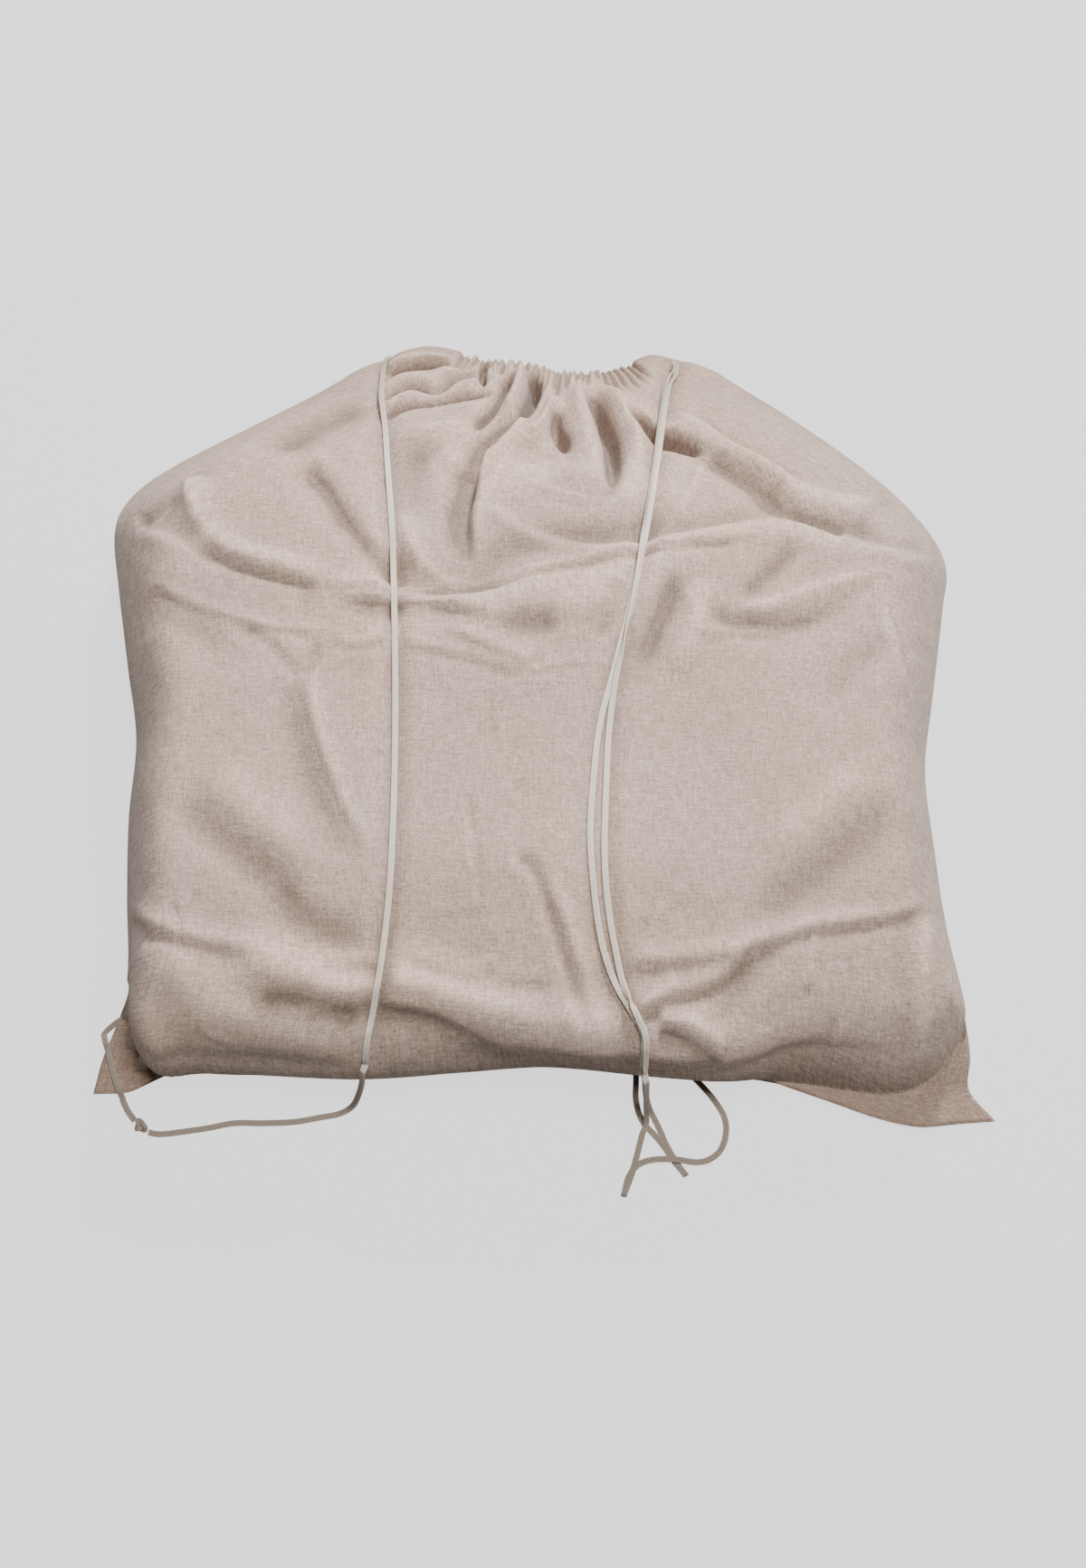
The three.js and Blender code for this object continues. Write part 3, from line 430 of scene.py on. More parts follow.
    ([(-124, -17), (-120, -42), (-114, -62), (-105, -86), (-96, -105), (-84, -126)], 4, 8, 0.6, 1.9, 1.7, 0.1, 0.4),
    ([(-141, 6), (-127, 1), (-119, -5)], 4, 4, 0.8),
    ([(-129, 39), (-124, 32), (-125, 11)], 5, 5, -1),
    # Creases of the middle
    ([(-57, 13), (-38, 5), (-19, -4), (-2, -12)], 5, 4, 2, 0.6, 1.8, 0.3, 0.2),
    ([(-75, -1), (-56, -4), (-38, -8), (-22, -14), (-11, -18)], 3, 2.4, -0.4, 0.8, 1.5, 0.2, 0.1),
    ([(-9, -17), (0, -14), (19, -10), (42, -10)], 2, 2, 0.7, 0.4, 1.6, 0.1),
    ([(-15, -16), (-12, -18)], 2.4, 2.4, -1, 0, 2, 0.1, 0.1),
    ([(-19, 12), (-5, 15), (7, 6)], 6, 7, -1.4),
    ([(43, 38), (35, 17), (29, 0)], 5, 6, -2.6, 0.8, 1.8, 0.2),
    ([(-26, -21), (-26, -34), (-24, -57)], 1.6, 1.6, -0.5, 0.3, 1.6, 0.2),
    ([(14, -61), (16, -78), (19, -92)], 1.8, 1.8, -0.45, 0.3, 1.6),
    ([(-40, -80), (-36, -102), (-34, -120), (-31, -144)], 1.8, 1.8, -0.8, -0.5, 1.6, 0.2, 0.15),
    ([(-52, -147), (-42, -146), (-31, -145), (-24, -149)], 2.4, 2, 0, 0.35, 1.5, 0.15, 0.2),
    ([(-14, -118), (-5, -128), (1, -144), (8, -161), (15, -176), (22, -187), (29, -196)],
     3, 3.4, -1.8, -0.9, 1.7, 0.06, 0.25),
    ([(-20, -109), (-15, -118), (-19, -131)], 2.2, 2.2, 0.8, 0, 1.8, 0.2),
    ([(0, -125), (9, -143), (17, -162), (25, -177)], 5, 5, 1.6),
    # Low creases, and the lip over the bottom wall
    ([(-72, -162), (-58, -167), (-44, -170), (-31, -172), (-26, -169), (-18, -172), (9, -173)],
     3, 2.6, -0.2, 0.75, 1.5, 0.2, 0.2),
    ([(-110, -164), (-93, -166), (-78, -168)], 2.8, 2.4, -0.4, 1.1, 1.5, 0.2, 0.2),
    ([(-215, -131), (-196, -149), (-182, -155), (-167, -158), (-147, -160), (-133, -160)], 3.4, 3, -0.4, 1.7, 1.5, 0.1),
    ([(-182, -140), (-179, -147), (-175, -156)], 2, 2, -0.5, 0.5, 1.6, 0.2, 0.2),
    ([(-157, -157), (-133, -163), (-111, -168), (-91, -175), (-79, -179)], 9, 7, 4, 0, 2, 0.25, 0.2),
    ([(-135, -128), (-120, -147), (-98, -157), (-82, -160)], 9, 9, -3.2),
    ([(-141, -170), (-124, -172), (-110, -174), (-94, -178), (-80, -180)], 5, 4, -1, 2.2, 1.6, 0.15, 0.1),
    ([(-85, -179), (-72, -181), (-54, -184), (-37, -188), (-19, -192), (0, -197), (23, -198), (43, -199)],
     9, 5, 3, 6, 1.7, 0.12, 0.15),
    ([(-145, -175), (-124, -174), (-111, -176), (-89, -181)], 3.4, 4, -2, 0.6, 1.7, 0.2, 0.2),
    ([(-120, -180), (-102, -180), (-89, -183)], 3, 3, -1.4, 0.5, 1.7, 0.2, 0.2),
    ([(-184, -183), (-161, -179), (-139, -183), (-112, -186), (-92, -187)], 9, 8, 3, 0, 2, 0.3, 0.2),
    ([(-196, -180), (-160, -184), (-120, -186), (-90, -190)], 14, 14, 0, 4.5, 2, 0.2, 0.25),
    ([(-170, -183), (-161, -187), (-149, -189)], 2, 2, 0.8, 0.4, 1.6, 0.2),
    ([(-93, -183), (-100, -187), (-104, -191)], 3, 3, -1, 0.5, 1.8, 0.2, 0.2),
    # Right side, pocket and flange
    ([(36, -167), (62, -166), (84, -164), (111, -158), (127, -154), (136, -152), (157, -149), (181, -144), (196, -133)],
     3.4, 2.8, -0.2, 1.1, 1.5, 0.1, 0.1),
    ([(40, -163), (71, -162), (102, -157), (136, -149), (173, -143)], 6, 5, 1.1, 0, 2, 0.2, 0.2),
    ([(43, -184), (53, -181), (67, -177), (85, -172), (105, -161)], 3.4, 3, -0.8, 1.8, 1.5, 0.15, 0.2),
    ([(45, -181), (54, -177), (66, -169)], 3, 3, 1.6, 0, 1.8, 0.2, 0.2),
    ([(76, -188), (89, -180), (103, -169), (122, -160)], 6, 5, -2.2, 0, 2, 0.25),
    ([(63, -186), (80, -182), (98, -178)], 7, 8, 1.6, 0, 2, 0.3, 0.4),
    ([(134, -154), (130, -166), (127, -176)], 2, 2.4, 1, 0.4, 1.6, 0.1),
    ([(126, -177), (133, -177)], 2.2, 2.2, -0.8),
    ([(146, -186), (142, -196), (142, -206), (146, -213)], 2.6, 2.6, -0.7, 0.9, 1.6, 0.15, 0.2),
    ([(55, -188), (65, -189), (77, -193), (89, -197)], 4.4, 3, -2, 3.6, 1.6, 0.12, 0.15),
    ([(191, -136), (184, -164), (182, -186), (187, -212)], 5, 6, 0.6, 1.5, 1.8, 0.15, 0.1),
    ([(198, -173), (204, -190), (207, -211)], 4, 4, -1.2, 0, 1.8, 0.3, 0.2),
    ([(146, -211), (156, -213), (170, -215), (189, -218)], 3.4, 2.4, -0.6, 1.7, 1.6, 0.1, 0.1),
    ([(188, -211), (188, -220), (186, -229)], 2.4, 2.6, -1.2, 0.8, 1.7, 0.1, 0.1),
    ([(205, -216), (203, -223), (204, -229)], 2.4, 2.4, 0.7, 0, 1.8, 0.2, 0.2),
]]


# Height of the folds at plan places: fade * (rise * exp(-(t ** sharp)) + roll * t * exp((1 - t * t) / 2)), where t
# is the distance from the line in widths, and the roll changes its sign with the side.
def foldLift(folds, x, y):
    lift = np.zeros(x.shape)
    for fold in folds:
        line = smoothLine(fold["line"], lineSteps)
        margin = foldReach["margin"] * max(fold["left"], fold["right"])
        low, high = line.min(0) - margin, line.max(0) + margin
        near = (x > low[0]) & (x < high[0]) & (y > low[1]) & (y < high[1])
        distance, along = nearestOnLine(line, x[near], y[near])
        width = np.where(distance > 0, fold["left"], fold["right"])
        t = np.abs(distance) / width
        begun = ease(-foldReach["overrun"], fold["start"], along)
        fade = begun * (1 - ease(1 - fold["end"], 1 + foldReach["overrun"], along))
        roll = fold["roll"] * np.sign(distance) * t * np.exp(0.5 - 0.5 * t * t)
        lift[near] += fade * (fold["rise"] * np.exp(-(t ** fold["sharp"])) + roll)
    return lift


# Valleys between the pleats of the casing, from the mouth's edge down the neck, with their width and depth.
pleatColumns = ("line", "width", "depth")
pleatValleys = [dict(zip(pleatColumns, row)) for row in [
    ([(-46, 236), (-51, 216), (-54, 208)], 1.6, 2.6),
    ([(-42, 236), (-49, 213), (-54, 207)], 1.5, 3),
    ([(-36, 236), (-42, 220), (-49, 211)], 1.7, 3.2),
    ([(-33, 236), (-36, 219), (-35, 194)], 1.5, 3.8),
    ([(-30, 235), (-30, 213), (-28, 201)], 1.6, 3),
    ([(-26, 235), (-27, 209), (-23, 203)], 1.4, 2.8),
    ([(-21, 235), (-25, 211), (-20, 205)], 1.7, 4),
    ([(-16, 234), (-16, 211), (-13, 201)], 1.5, 2.8),
    ([(-11, 233), (-9, 213), (-6, 206)], 1.6, 3.6),
    ([(-6, 232), (-5, 215), (-6, 209)], 1.3, 2.6),
    ([(-1, 231), (-4, 214), (-5, 203)], 1.5, 3.4),
    ([(3, 230), (-1, 211), (-2, 200)], 1.3, 3),
    ([(6, 229), (1, 204), (0, 193)], 1.5, 3.6),
    ([(8, 229), (7, 206), (4, 192)], 1.4, 3.2),
    ([(11, 228), (9, 204), (7, 182)], 1.6, 4),
    ([(15, 228), (13, 206), (14, 186)], 1.4, 3.4),
    ([(18, 227), (15, 210), (15, 190)], 1.4, 3),
    ([(21, 227), (19, 198), (16, 182)], 1.6, 3.8),
    ([(25, 227), (23, 202), (25, 184)], 1.5, 3.2),
    ([(27, 227), (26, 201), (28, 187)], 1.3, 3),
    ([(30, 227), (32, 211), (36, 203)], 1.6, 2.8),
    ([(34, 227), (38, 204), (43, 183)], 1.5, 3.6),
    ([(37, 228), (43, 201), (48, 185)], 1.6, 3.4),
    ([(40, 229), (47, 206), (52, 193)], 1.5, 3.2),
    ([(43, 231), (53, 206), (60, 193)], 1.6, 3),
    ([(47, 233), (56, 212), (64, 199)], 1.5, 3.2),
    ([(50, 234), (61, 212), (68, 206)], 1.5, 2.6),
]]
pleatShape = {"gain": 1.7, "fadeFrom": 0.5, "sharp": 1.3}


# The valleys go down by gain * depth * exp(-(distance / width) ** sharp), and fade out along the neck.
def pleatLift(valleys, x, y):
    lift = np.zeros(x.shape)
    for valley in valleys:
        distance, along = nearestOnLine(smoothLine(valley["line"], lineSteps), x, y)
        fade = 1 - ease(pleatShape["fadeFrom"], 1, along)
        depth = np.exp(-(np.abs(distance) / valley["width"]) ** pleatShape["sharp"])
        lift -= pleatShape["gain"] * valley["depth"] * fade * depth
    return lift


backPleats = {
    "seed": 9, "count": 17, "from": -0.7, "to": 0.7, "shift": 0.18, "lean": 0.02, "turn": 0.5, "widths": (0.42, 0.62),
    "rise": 4.6, "rises": (0.7, 1.25), "reach": 0.1, "reaches": (0.6, 1.5), "casing": 0.055, "widening": 1.5,
    "fading": 1.3, "sharp": 2.4,
}


# Pleats of the back's casing: where each crosses the edge, its lean, width, height and length down the neck.
def pleatTable(settings):
    chance = np.random.default_rng(settings["seed"])
    count, shift, turn = settings["count"], settings["shift"], settings["turn"]
    at = np.linspace(settings["from"], settings["to"], count)
    pitch = (settings["to"] - settings["from"]) / (count - 1)
    return {
        "u": at + chance.uniform(-shift, shift, count) * pitch,
        "lean": settings["lean"] + chance.uniform(-turn, turn, count) * pitch,
        "width": pitch * chance.uniform(*settings["widths"], count),
        "rise": settings["rise"] * chance.uniform(*settings["rises"], count),
        "reach": settings["reach"] * chance.uniform(*settings["reaches"], count),
    }


# The back's pleats are ridges that widen and lean down the neck: rise * fade * exp(-(t ** sharp)), where t is the
# distance from the ridge's line in widths.
def ridgeLift(settings, u, v):
    lift = np.zeros(u.shape)
    down = 1 - v
    for at, lean, width, rise, reach in zip(*pleatTable(settings).values()):
        spread = 1 + settings["widening"] * down / settings["reach"]
        t = (u - at - lean * down / settings["casing"]) / (width * spread)
        fade = np.clip(1 - down / reach, 0, 1) ** settings["fading"]
        lift += rise * fade * np.exp(-np.abs(t) ** settings["sharp"])
    return lift


# Slow swells, dents and small wrinkles that any stuffed cloth has.
unevenness = [
    {"height": 1.6, "cell": 88, "skew": 0, "squeeze": 1},
    {"height": 0.55, "cell": 34, "skew": 0.4, "squeeze": 1},
    {"height": 0.16, "cell": 13, "skew": 0.3, "squeeze": 1.6},
]


# Each kind of unevenness is height * noise of the skewed and squeezed plan place.
def roughLift(x, y, seed):
    return sum(kind["height"] * valueNoise(x + kind["skew"] * y, kind["squeeze"] * y, kind["cell"], seed + i)
               for i, kind in enumerate(unevenness))


cordPress = {"depth": 3.4, "width": 6}


# The cloth dips under the cords that lie on it.
def pressLift(x, y):
    lift = np.zeros(x.shape)
    for route in (leftFrontRoute, rightInnerRoute, rightOuterRoute):
        lying = [row[:2] for row in route if len(row) == 2]
        distance, _ = nearestOnLine(smoothLine(lying, lineSteps), x, y)
        lift = np.minimum(lift, -cordPress["depth"] * np.exp(-(distance / cordPress["width"]) ** 2))
    return lift


reliefGain = {"body": 1.15, "neck": 1.55, "bodyTo": 80, "neckFrom": 150}
casingPuff = {"height": 2.2, "from": 0.9, "full": 0.95, "lessening": 0.975, "calm": 10}
# Width along the seams in which folds and pleats calm down, and the v from which folds and unevenness fade.
reliefCalm = {"folds": 20, "pleats": 8, "foldsTo": 0.965, "roughTo": 0.9, "seed": 21}


# All that stands out of the plain front: folds, pleats, the casing's puff, dips under cords and unevenness.
def frontRelief(place, u, v):
    x, y, inside = place["x"], place["y"], place["inside"]
    calm = ease(0, reliefCalm["folds"], inside)
    neck = ease(reliefGain["bodyTo"], reliefGain["neckFrom"], y)
    gain = reliefGain["body"] + (reliefGain["neck"] - reliefGain["body"]) * neck
    folds = gain * foldLift(frontFolds, x, y) * calm * (1 - ease(reliefCalm["foldsTo"], 1, v))
    pleats = pleatLift(pleatValleys, x, y) * ease(0, reliefCalm["pleats"], inside)
    swell = ease(casingPuff["from"], casingPuff["full"], v) * (1 - ease(casingPuff["lessening"], 1, v))
    puff = casingPuff["height"] * swell * ease(0, casingPuff["calm"], inside)
    rough = roughLift(x, y, reliefCalm["seed"]) * calm * (1 - ease(reliefCalm["roughTo"], 1, v))
    return folds + pleats + puff + pressLift(x, y) * calm + rough


def backRelief(place, u, v):
    return ridgeLift(backPleats, u, v) * ease(0, reliefCalm["pleats"], place["inside"])


# Cloth meshes

frontSheet = {"base": frontBase, "relief": frontRelief, "side": 1, "columns": 330, "rows": 268}
backSheet = {"base": backBase, "relief": backRelief, "side": -1, "columns": 180, "rows": 130}
panelMesh = {
    "coarse": 10,  # the inner skin has every tenth column of the outer one
    "slopeStep": 0.004,
    "rimThickness": 0.3,
    "rimWidth": 1.8,
    # The fold tone is painted shade in the hollows and painted highlight on the ridges.
    "foldShadeReach": (4, 14, 36),  # windows of the fold tone, in grid steps
    "weaveSpan": (0.52, 0.52),  # cloth that the weave is laid out on, in metres
    "sideCrowding": 0.38,
    "mouthCrowding": 2.2,
    "mouthRows": (0.75, 0.95),
    "bottomCrowding": 0.8,
    "bottomRows": (0.05, 0.2),
}


# Inner and outer skin of a panel on a grid of u and v, and how far each place stands out of the relief around it.
# The relief and the thickness go out square to the plain body, and the outer skin rounds down to the seams and to
# the mouth's edge. The inner skin has fewer columns and keeps under the lowest relief around each of them.
def panelSkins(sheet, u, v):
    def basePoint(u, v):
        place = layout(u, v)
        z = sheet["base"](place)
        return np.stack([place["x"], bulgeOut(place["x"], place["y"], z), z], -1)

    step = panelMesh["slopeStep"]
    across = basePoint(np.minimum(u + step, 1), v) - basePoint(np.maximum(u - step, -1), v)
    along = basePoint(u, np.minimum(v + step, 1)) - basePoint(u, np.maximum(v - step, 0))
    normal = np.cross(across, along) * sheet["side"]
    normal[..., 2] = np.where(normal[..., 2] * sheet["side"] < 0, 0, normal[..., 2])
    normal = unit(normal)
    place = layout(u, v)
    relief = sheet["relief"](place, u, v) * sheet["side"]
    inner = basePoint(u, v) + normal * relief[..., None]
    thickness = np.where(v > body["casingStart"], body["casingThickness"], body["clothThickness"])
    rows = np.linalg.norm(np.diff(inner, axis=0), axis=-1)
    columns = np.linalg.norm(np.diff(inner, axis=1), axis=-1)
    upDistance = np.concatenate([np.zeros((1, u.shape[1])), np.cumsum(rows, 0)])
    sideDistance = np.concatenate([np.zeros((u.shape[0], 1)), np.cumsum(columns, 1)], 1)
    edge = np.minimum(np.minimum(upDistance, upDistance[-1:] - upDistance),
                      np.minimum(sideDistance, sideDistance[:, -1:] - sideDistance))
    rim = roundedEdge(edge / panelMesh["rimWidth"], body["roundness"])
    thickness = thickness * (panelMesh["rimThickness"] + (1 - panelMesh["rimThickness"]) * rim)
    outer = inner + normal * thickness[..., None]
    if sheet["side"] < 0:
        outer[..., 2] = np.maximum(outer[..., 2], 0)
    reach = panelMesh["coarse"]
    padded = np.pad(relief, ((0, 0), (reach, reach)), mode="edge")
    lowest = np.lib.stride_tricks.sliding_window_view(padded, 2 * reach + 1, axis=1).min(-1)
    inner = inner + normal * (lowest - relief)[..., None]
    relief = relief * sheet["side"]
    proud = [relief - smoothed(smoothed(relief, reach).T, reach).T for reach in panelMesh["foldShadeReach"]]
    return inner + planShift, outer + planShift, np.mean(proud, 0)


def meshFrom(name, points, faces):
    mesh = bpy.data.meshes.new(name)
    mesh.from_pydata(points * millimetre, [], faces)
    mesh.polygons.foreach_set("use_smooth", np.full(len(mesh.polygons), True))
    mesh.update()
    piece = bpy.data.objects.new(name, mesh)
    bpy.context.scene.collection.objects.link(piece)
    return piece


def gridQuads(first, rowCount, columnCount, flip):
    r, c = np.meshgrid(np.arange(rowCount - 1), np.arange(columnCount - 1), indexing="ij")
    a = (first + r * columnCount + c).ravel()
    quads = np.stack([a, a + 1, a + columnCount + 1, a + columnCount], 1)
    return quads[:, ::-1] if flip else quads


def setUv(piece, uv):
    layer = piece.data.uv_layers.new(name="clothPlace")
    corners = np.empty(len(piece.data.loops), int)
    piece.data.loops.foreach_get("vertex_index", corners)
    layer.data.foreach_set("uv", uv[corners].ravel().astype(np.float32))


def setMask(piece, name, values):
    attribute = piece.data.attributes.new(name, "FLOAT", "POINT")
    attribute.data.foreach_set("value", values.astype(np.float32))


# A closed sheet of cloth: fine outer skin, coarser inner skin, joined round the rims. At the bottom and the mouth one
# face joins several points of the outer skin to two of the inner.
def clothPiece(name, sheet):
    coarse = panelMesh["coarse"]
    u, v = np.meshgrid(sideCrowded(sheet["columns"]), mouthCrowded(sheet["rows"]))
    inner, outer, proud = panelSkins(sheet, u, v)
    inner, innerU, innerV = inner[:, ::coarse], u[:, ::coarse], v[:, ::coarse]
    rowCount, outerCount = outer.shape[:2]
    innerCount = inner.shape[1]
    start = rowCount * outerCount
    flip = sheet["side"] < 0
    faces = [gridQuads(0, rowCount, outerCount, flip), gridQuads(start, rowCount, innerCount, not flip)]
    r = np.arange(rowCount - 1)
    for outerColumn, innerColumn, turn in ((0, 0, True), (outerCount - 1, innerCount - 1, False)):
        a, b = r * outerCount + outerColumn, (r + 1) * outerCount + outerColumn
        c, d = start + (r + 1) * innerCount + innerColumn, start + r * innerCount + innerColumn
        side = np.stack([a, b, c, d], 1)
        faces.append(side[:, ::-1] if turn == flip else side)
    quads = [tuple(quad) for part in faces for quad in part.tolist()]
    for row, turn in ((0, False), (rowCount - 1, True)):
        for k in range(innerCount - 1):
            outerRun = [row * outerCount + k * coarse + i for i in range(coarse + 1)]
            rim = [start + row * innerCount + k + 1, start + row * innerCount + k, *outerRun]
            quads.append(tuple(reversed(rim)) if turn != flip else tuple(rim))
    points = np.concatenate([outer.reshape(-1, 3), inner.reshape(-1, 3)])
    piece = meshFrom(name, points, quads)
    flatU = np.concatenate([u.ravel(), innerU.ravel()]) * panelMesh["weaveSpan"][0] / 2
    flatV = np.concatenate([v.ravel(), innerV.ravel()]) * panelMesh["weaveSpan"][1]
    setUv(piece, np.stack([flatU, flatV], 1))
    # How far each place stands out, for the painted shade in hollows and the painted highlight on ridges.
    setMask(piece, "foldHeight", np.concatenate([proud.ravel(), proud[:, ::coarse].ravel()]))
    return piece


# Lines of a grid that crowd towards the two side seams, and rows that crowd towards the mouth and the bottom.
def sideCrowded(count):
    w = np.linspace(-1, 1, count + 1)
    share = panelMesh["sideCrowding"]
    return (1 - share) * w + share * np.sin(w * np.pi / 2)


def mouthCrowded(count):
    t = np.linspace(0, 1, count + 1)
    mouth = panelMesh["mouthCrowding"] * ease(*panelMesh["mouthRows"], t)
    bottom = panelMesh["bottomCrowding"] * (1 - ease(*panelMesh["bottomRows"], t))
    dense = 1 + mouth + bottom
    steps = np.cumsum(1 / dense)
    return (steps - steps[0]) / (steps[-1] - steps[0])


print("cloth panels")
frontPanel = clothPiece("front_cloth", frontSheet)
backPanel = clothPiece("back_cloth", backSheet)


# Cords

cord = {
    "width": 3.5, "thickness": 1.5, "clearance": 0.3, "lineStep": 0.9, "ring": 0.36, "sides": 24,
    "sideRounding": 0.62, "faceRounding": 0.8, "stitchRoom": 0.3, "pitch": 1.25, "depth": 0.3, "vee": 0.55,
    "ripple": 0.05, "groove": 0.07, "grooveWidth": 0.16, "grooveFrom": 0.4, "grooveShade": 0.2,
}
# How a cord settles on the cloth, and how its flat side turns where it stands steep or bends.
settling = {
    "rayFrom": 300, "steps": 12, "feeler": 0.4, "upReach": 6, "bridge": 5, "rounds": 4, "steepest": 0.5, "lift": 0.12,
}
turning = {"steep": (0.5, 0.9), "near": 2, "wide": 7, "safe": (0.5, 0.75)}


def treeOf(piece):
    mesh = piece.data
    points = np.empty(len(mesh.vertices) * 3)
    mesh.vertices.foreach_get("co", points)
    mesh.calc_loop_triangles()
    corners = np.empty(len(mesh.loop_triangles) * 3, int)
    mesh.loop_triangles.foreach_get("vertices", corners)
    places = (points.reshape(-1, 3) / millimetre).tolist()
    return BVHTree.FromPolygons(places, corners.reshape(-1, 3).tolist())


# Highest surface and its direction above plan places, or zero and straight up where there is none.
def surfaceAbove(trees, places):
    tops, ups = np.zeros(len(places)), np.tile([0.0, 0.0, 1.0], (len(places), 1))
    for i, (x, y) in enumerate(places):
        for tree in trees:
            hit, normal, _, _ = tree.ray_cast(Vector((x, y, settling["rayFrom"])), Vector((0, 0, -1)))
            if hit is not None and hit.z > tops[i]:
                tops[i], ups[i] = hit.z, normal
    return tops, ups


def resampled(points, step, *others):
    runs = np.concatenate([[0], np.cumsum(np.linalg.norm(np.diff(points, axis=0), axis=1))])
    at = np.linspace(0, runs[-1], max(int(round(runs[-1] / step)), 2) + 1)
    sets = [np.stack([np.interp(at, runs, values[:, k]) for k in range(3)], 1) for values in (points, *others)]
    return at, sets


# The centre line and the flat side's direction of a cord: free stretches follow their route, and the rest lies on
# the cloth, bridging what is narrower than the cord can follow.
def settledCord(route, trees):
    steps = settling["steps"]
    plan = smoothLine([row[:2] for row in route], steps) + planShift[:2]
    given = np.array([row[2] if len(row) > 2 else np.nan for row in route])
    free = ~np.isnan(given)
    marks = np.arange(len(route)) * steps
    at = np.arange(len(plan))
    heights = smoothLine(np.column_stack([marks, np.nan_to_num(given)]), steps)[:, 1]
    surely = np.interp(at, marks, free.astype(float)) > 0.999
    z = np.where(surely, heights, np.interp(at, marks[free], given[free]))
    lies = np.interp(at, marks, (~free).astype(float)) > 0.5
    slope = unit(np.gradient(plan, axis=0))
    square = np.stack([slope[:, 1], -slope[:, 0]], 1)
    tops, ups = surfaceAbove(trees, plan)
    for offset in (-settling["feeler"], settling["feeler"]):
        more, moreUps = surfaceAbove(trees, plan + square * offset * cord["width"])
        tops, ups = np.maximum(tops, more), ups + moreUps
    ups = smoothed(unit(ups), settling["upReach"])
    rest = tops + (cord["thickness"] / 2 + cord["clearance"]) / np.clip(ups[:, 2], settling["steepest"], 1)
    settled = rest.copy()
    for _ in range(settling["rounds"]):
        settled = np.maximum(smoothed(settled, settling["bridge"]), rest)
    z = np.where(lies, smoothed(settled, 2) + settling["lift"], z)
    ups[~lies] = (0, 0, 1)
    return np.column_stack([plan, z]), ups, lies


# Directions across and out of the flat side at each point of a cord's line. Where the cord stands steep, the last
# direction is carried on.
def cordFrames(line, ups, lies):
    along = unit(np.gradient(line, axis=0))
    out = np.empty_like(line)
    up = ups[0]
    for i in range(len(line)):
        carried = up - along[i] * np.dot(up, along[i])
        wanted = ups[i] - along[i] * np.dot(ups[i], along[i])
        if np.dot(wanted, carried) < 0:
            wanted = -wanted
        steep = 0.0 if lies[i] else float(ease(*turning["steep"], abs(along[i][2])))
        up = unit(wanted / max(np.linalg.norm(wanted), 1e-6) * (1 - steep) + unit(carried) * steep)
        out[i] = up
    wide = smoothed(out, turning["wide"])
    share = ease(*turning["safe"], np.linalg.norm(wide, axis=1, keepdims=True))
    out = wide * share + smoothed(out, turning["near"]) * (1 - share)
    out = unit(out - along * (out * along).sum(1, keepdims=True))
    return np.cross(along, out), out


# A section carried along a line: line + across * sideways + out * outwards at each ring.
def sectionAlong(line, across, out, sideways, outwards):
    return line[:, None] + across[:, None] * sideways[..., None] + out[:, None] * outwards[..., None]


# Faces between the rings of a tube, and between its last ring and its first where it is closed.
def tubeQuads(rings, sides, closed):
    r, c = np.meshgrid(np.arange(rings if closed else rings - 1), np.arange(sides), indexing="ij")
    r, c = r.ravel(), c.ravel()
    here, over, beside = r * sides, (r + 1) % rings * sides, (c + 1) % sides
    return np.stack([here + c, here + beside, over + beside, over + c], 1).tolist()


# A flat braided cord: a rounded flat section carried along the line, with a chain of V stitches on both faces. The
# stitch is cos(2 pi * (place / pitch - vee * distance from the middle)), and a groove runs down the middle.
def cordPiece(name, route, trees):
    line, ups, lies = settledCord(route, trees)
    lies = np.repeat(lies[:, None].astype(float), 3, 1)
    _, (line, ups, lies) = resampled(line, cord["lineStep"], ups, lies)
    line = np.column_stack([smoothed(line[:, :2], 2), smoothed(line[:, 2], 1)])
    across, out = cordFrames(line, ups, lies[:, 0] > 0.5)
    at, (line, across, out) = resampled(line, cord["ring"], across, out)
    around = np.linspace(0, 2 * np.pi, cord["sides"], endpoint=False)
    side, face = np.cos(around), np.sin(around)
    side = np.sign(side) * np.abs(side) ** cord["sideRounding"]
    face = np.sign(face) * np.abs(face) ** cord["faceRounding"]
    stitch = np.cos(2 * np.pi * (at[:, None] / cord["pitch"] - cord["vee"] * np.abs(side) * cord["width"] / 2))
    groove = np.exp(-((side / cord["grooveWidth"]) ** 2)) * (np.abs(face) > cord["grooveFrom"])
    height = 1 + (cord["depth"] * stitch - cord["groove"] * groove) / (cord["thickness"] / 2)
    half, thick = [(cord[size] - cord["stitchRoom"]) / 2 for size in ("width", "thickness")]
    sideways, outwards = side * half * (1 + cord["ripple"] * stitch), face * thick * height
    points = sectionAlong(line, across, out, sideways, outwards)
    rings, sides = stitch.shape
    ends = [list(range(sides))[::-1], list(range((rings - 1) * sides, rings * sides))]
    piece = meshFrom(name, points.reshape(-1, 3), tubeQuads(rings, sides, False) + ends)
    uv = np.stack(np.broadcast_arrays(side * half, at[:, None]), -1)
    setUv(piece, uv.reshape(-1, 2) * millimetre)
    # The stitch height also sets the cord's colour: painted shade in the low places between stitches and in the groove.
    setMask(piece, "stitchHeight", (0.5 + 0.5 * stitch - cord["grooveShade"] * groove).ravel())
    length = np.linalg.norm(np.diff(line, axis=0), axis=1).sum() * millimetre
    print(name, "length", round(length, 4))
    return piece, line * millimetre, length


print("cords")
clothTree = treeOf(frontPanel)
leftFront, leftFrontLine, leftFrontLength = cordPiece("left_drawstring_front", leftFrontRoute, [clothTree])
leftBack, leftBackLine, leftBackLength = cordPiece("left_drawstring_back", leftBackRoute, [clothTree])
rightInner, rightInnerLine, rightInnerLength = cordPiece("right_drawstring_inner", rightInnerRoute, [clothTree])
innerTree = treeOf(rightInner)
rightOuter, rightOuterLine, rightOuterLength = cordPiece(
    "right_drawstring_outer", rightOuterRoute, [clothTree, innerTree])

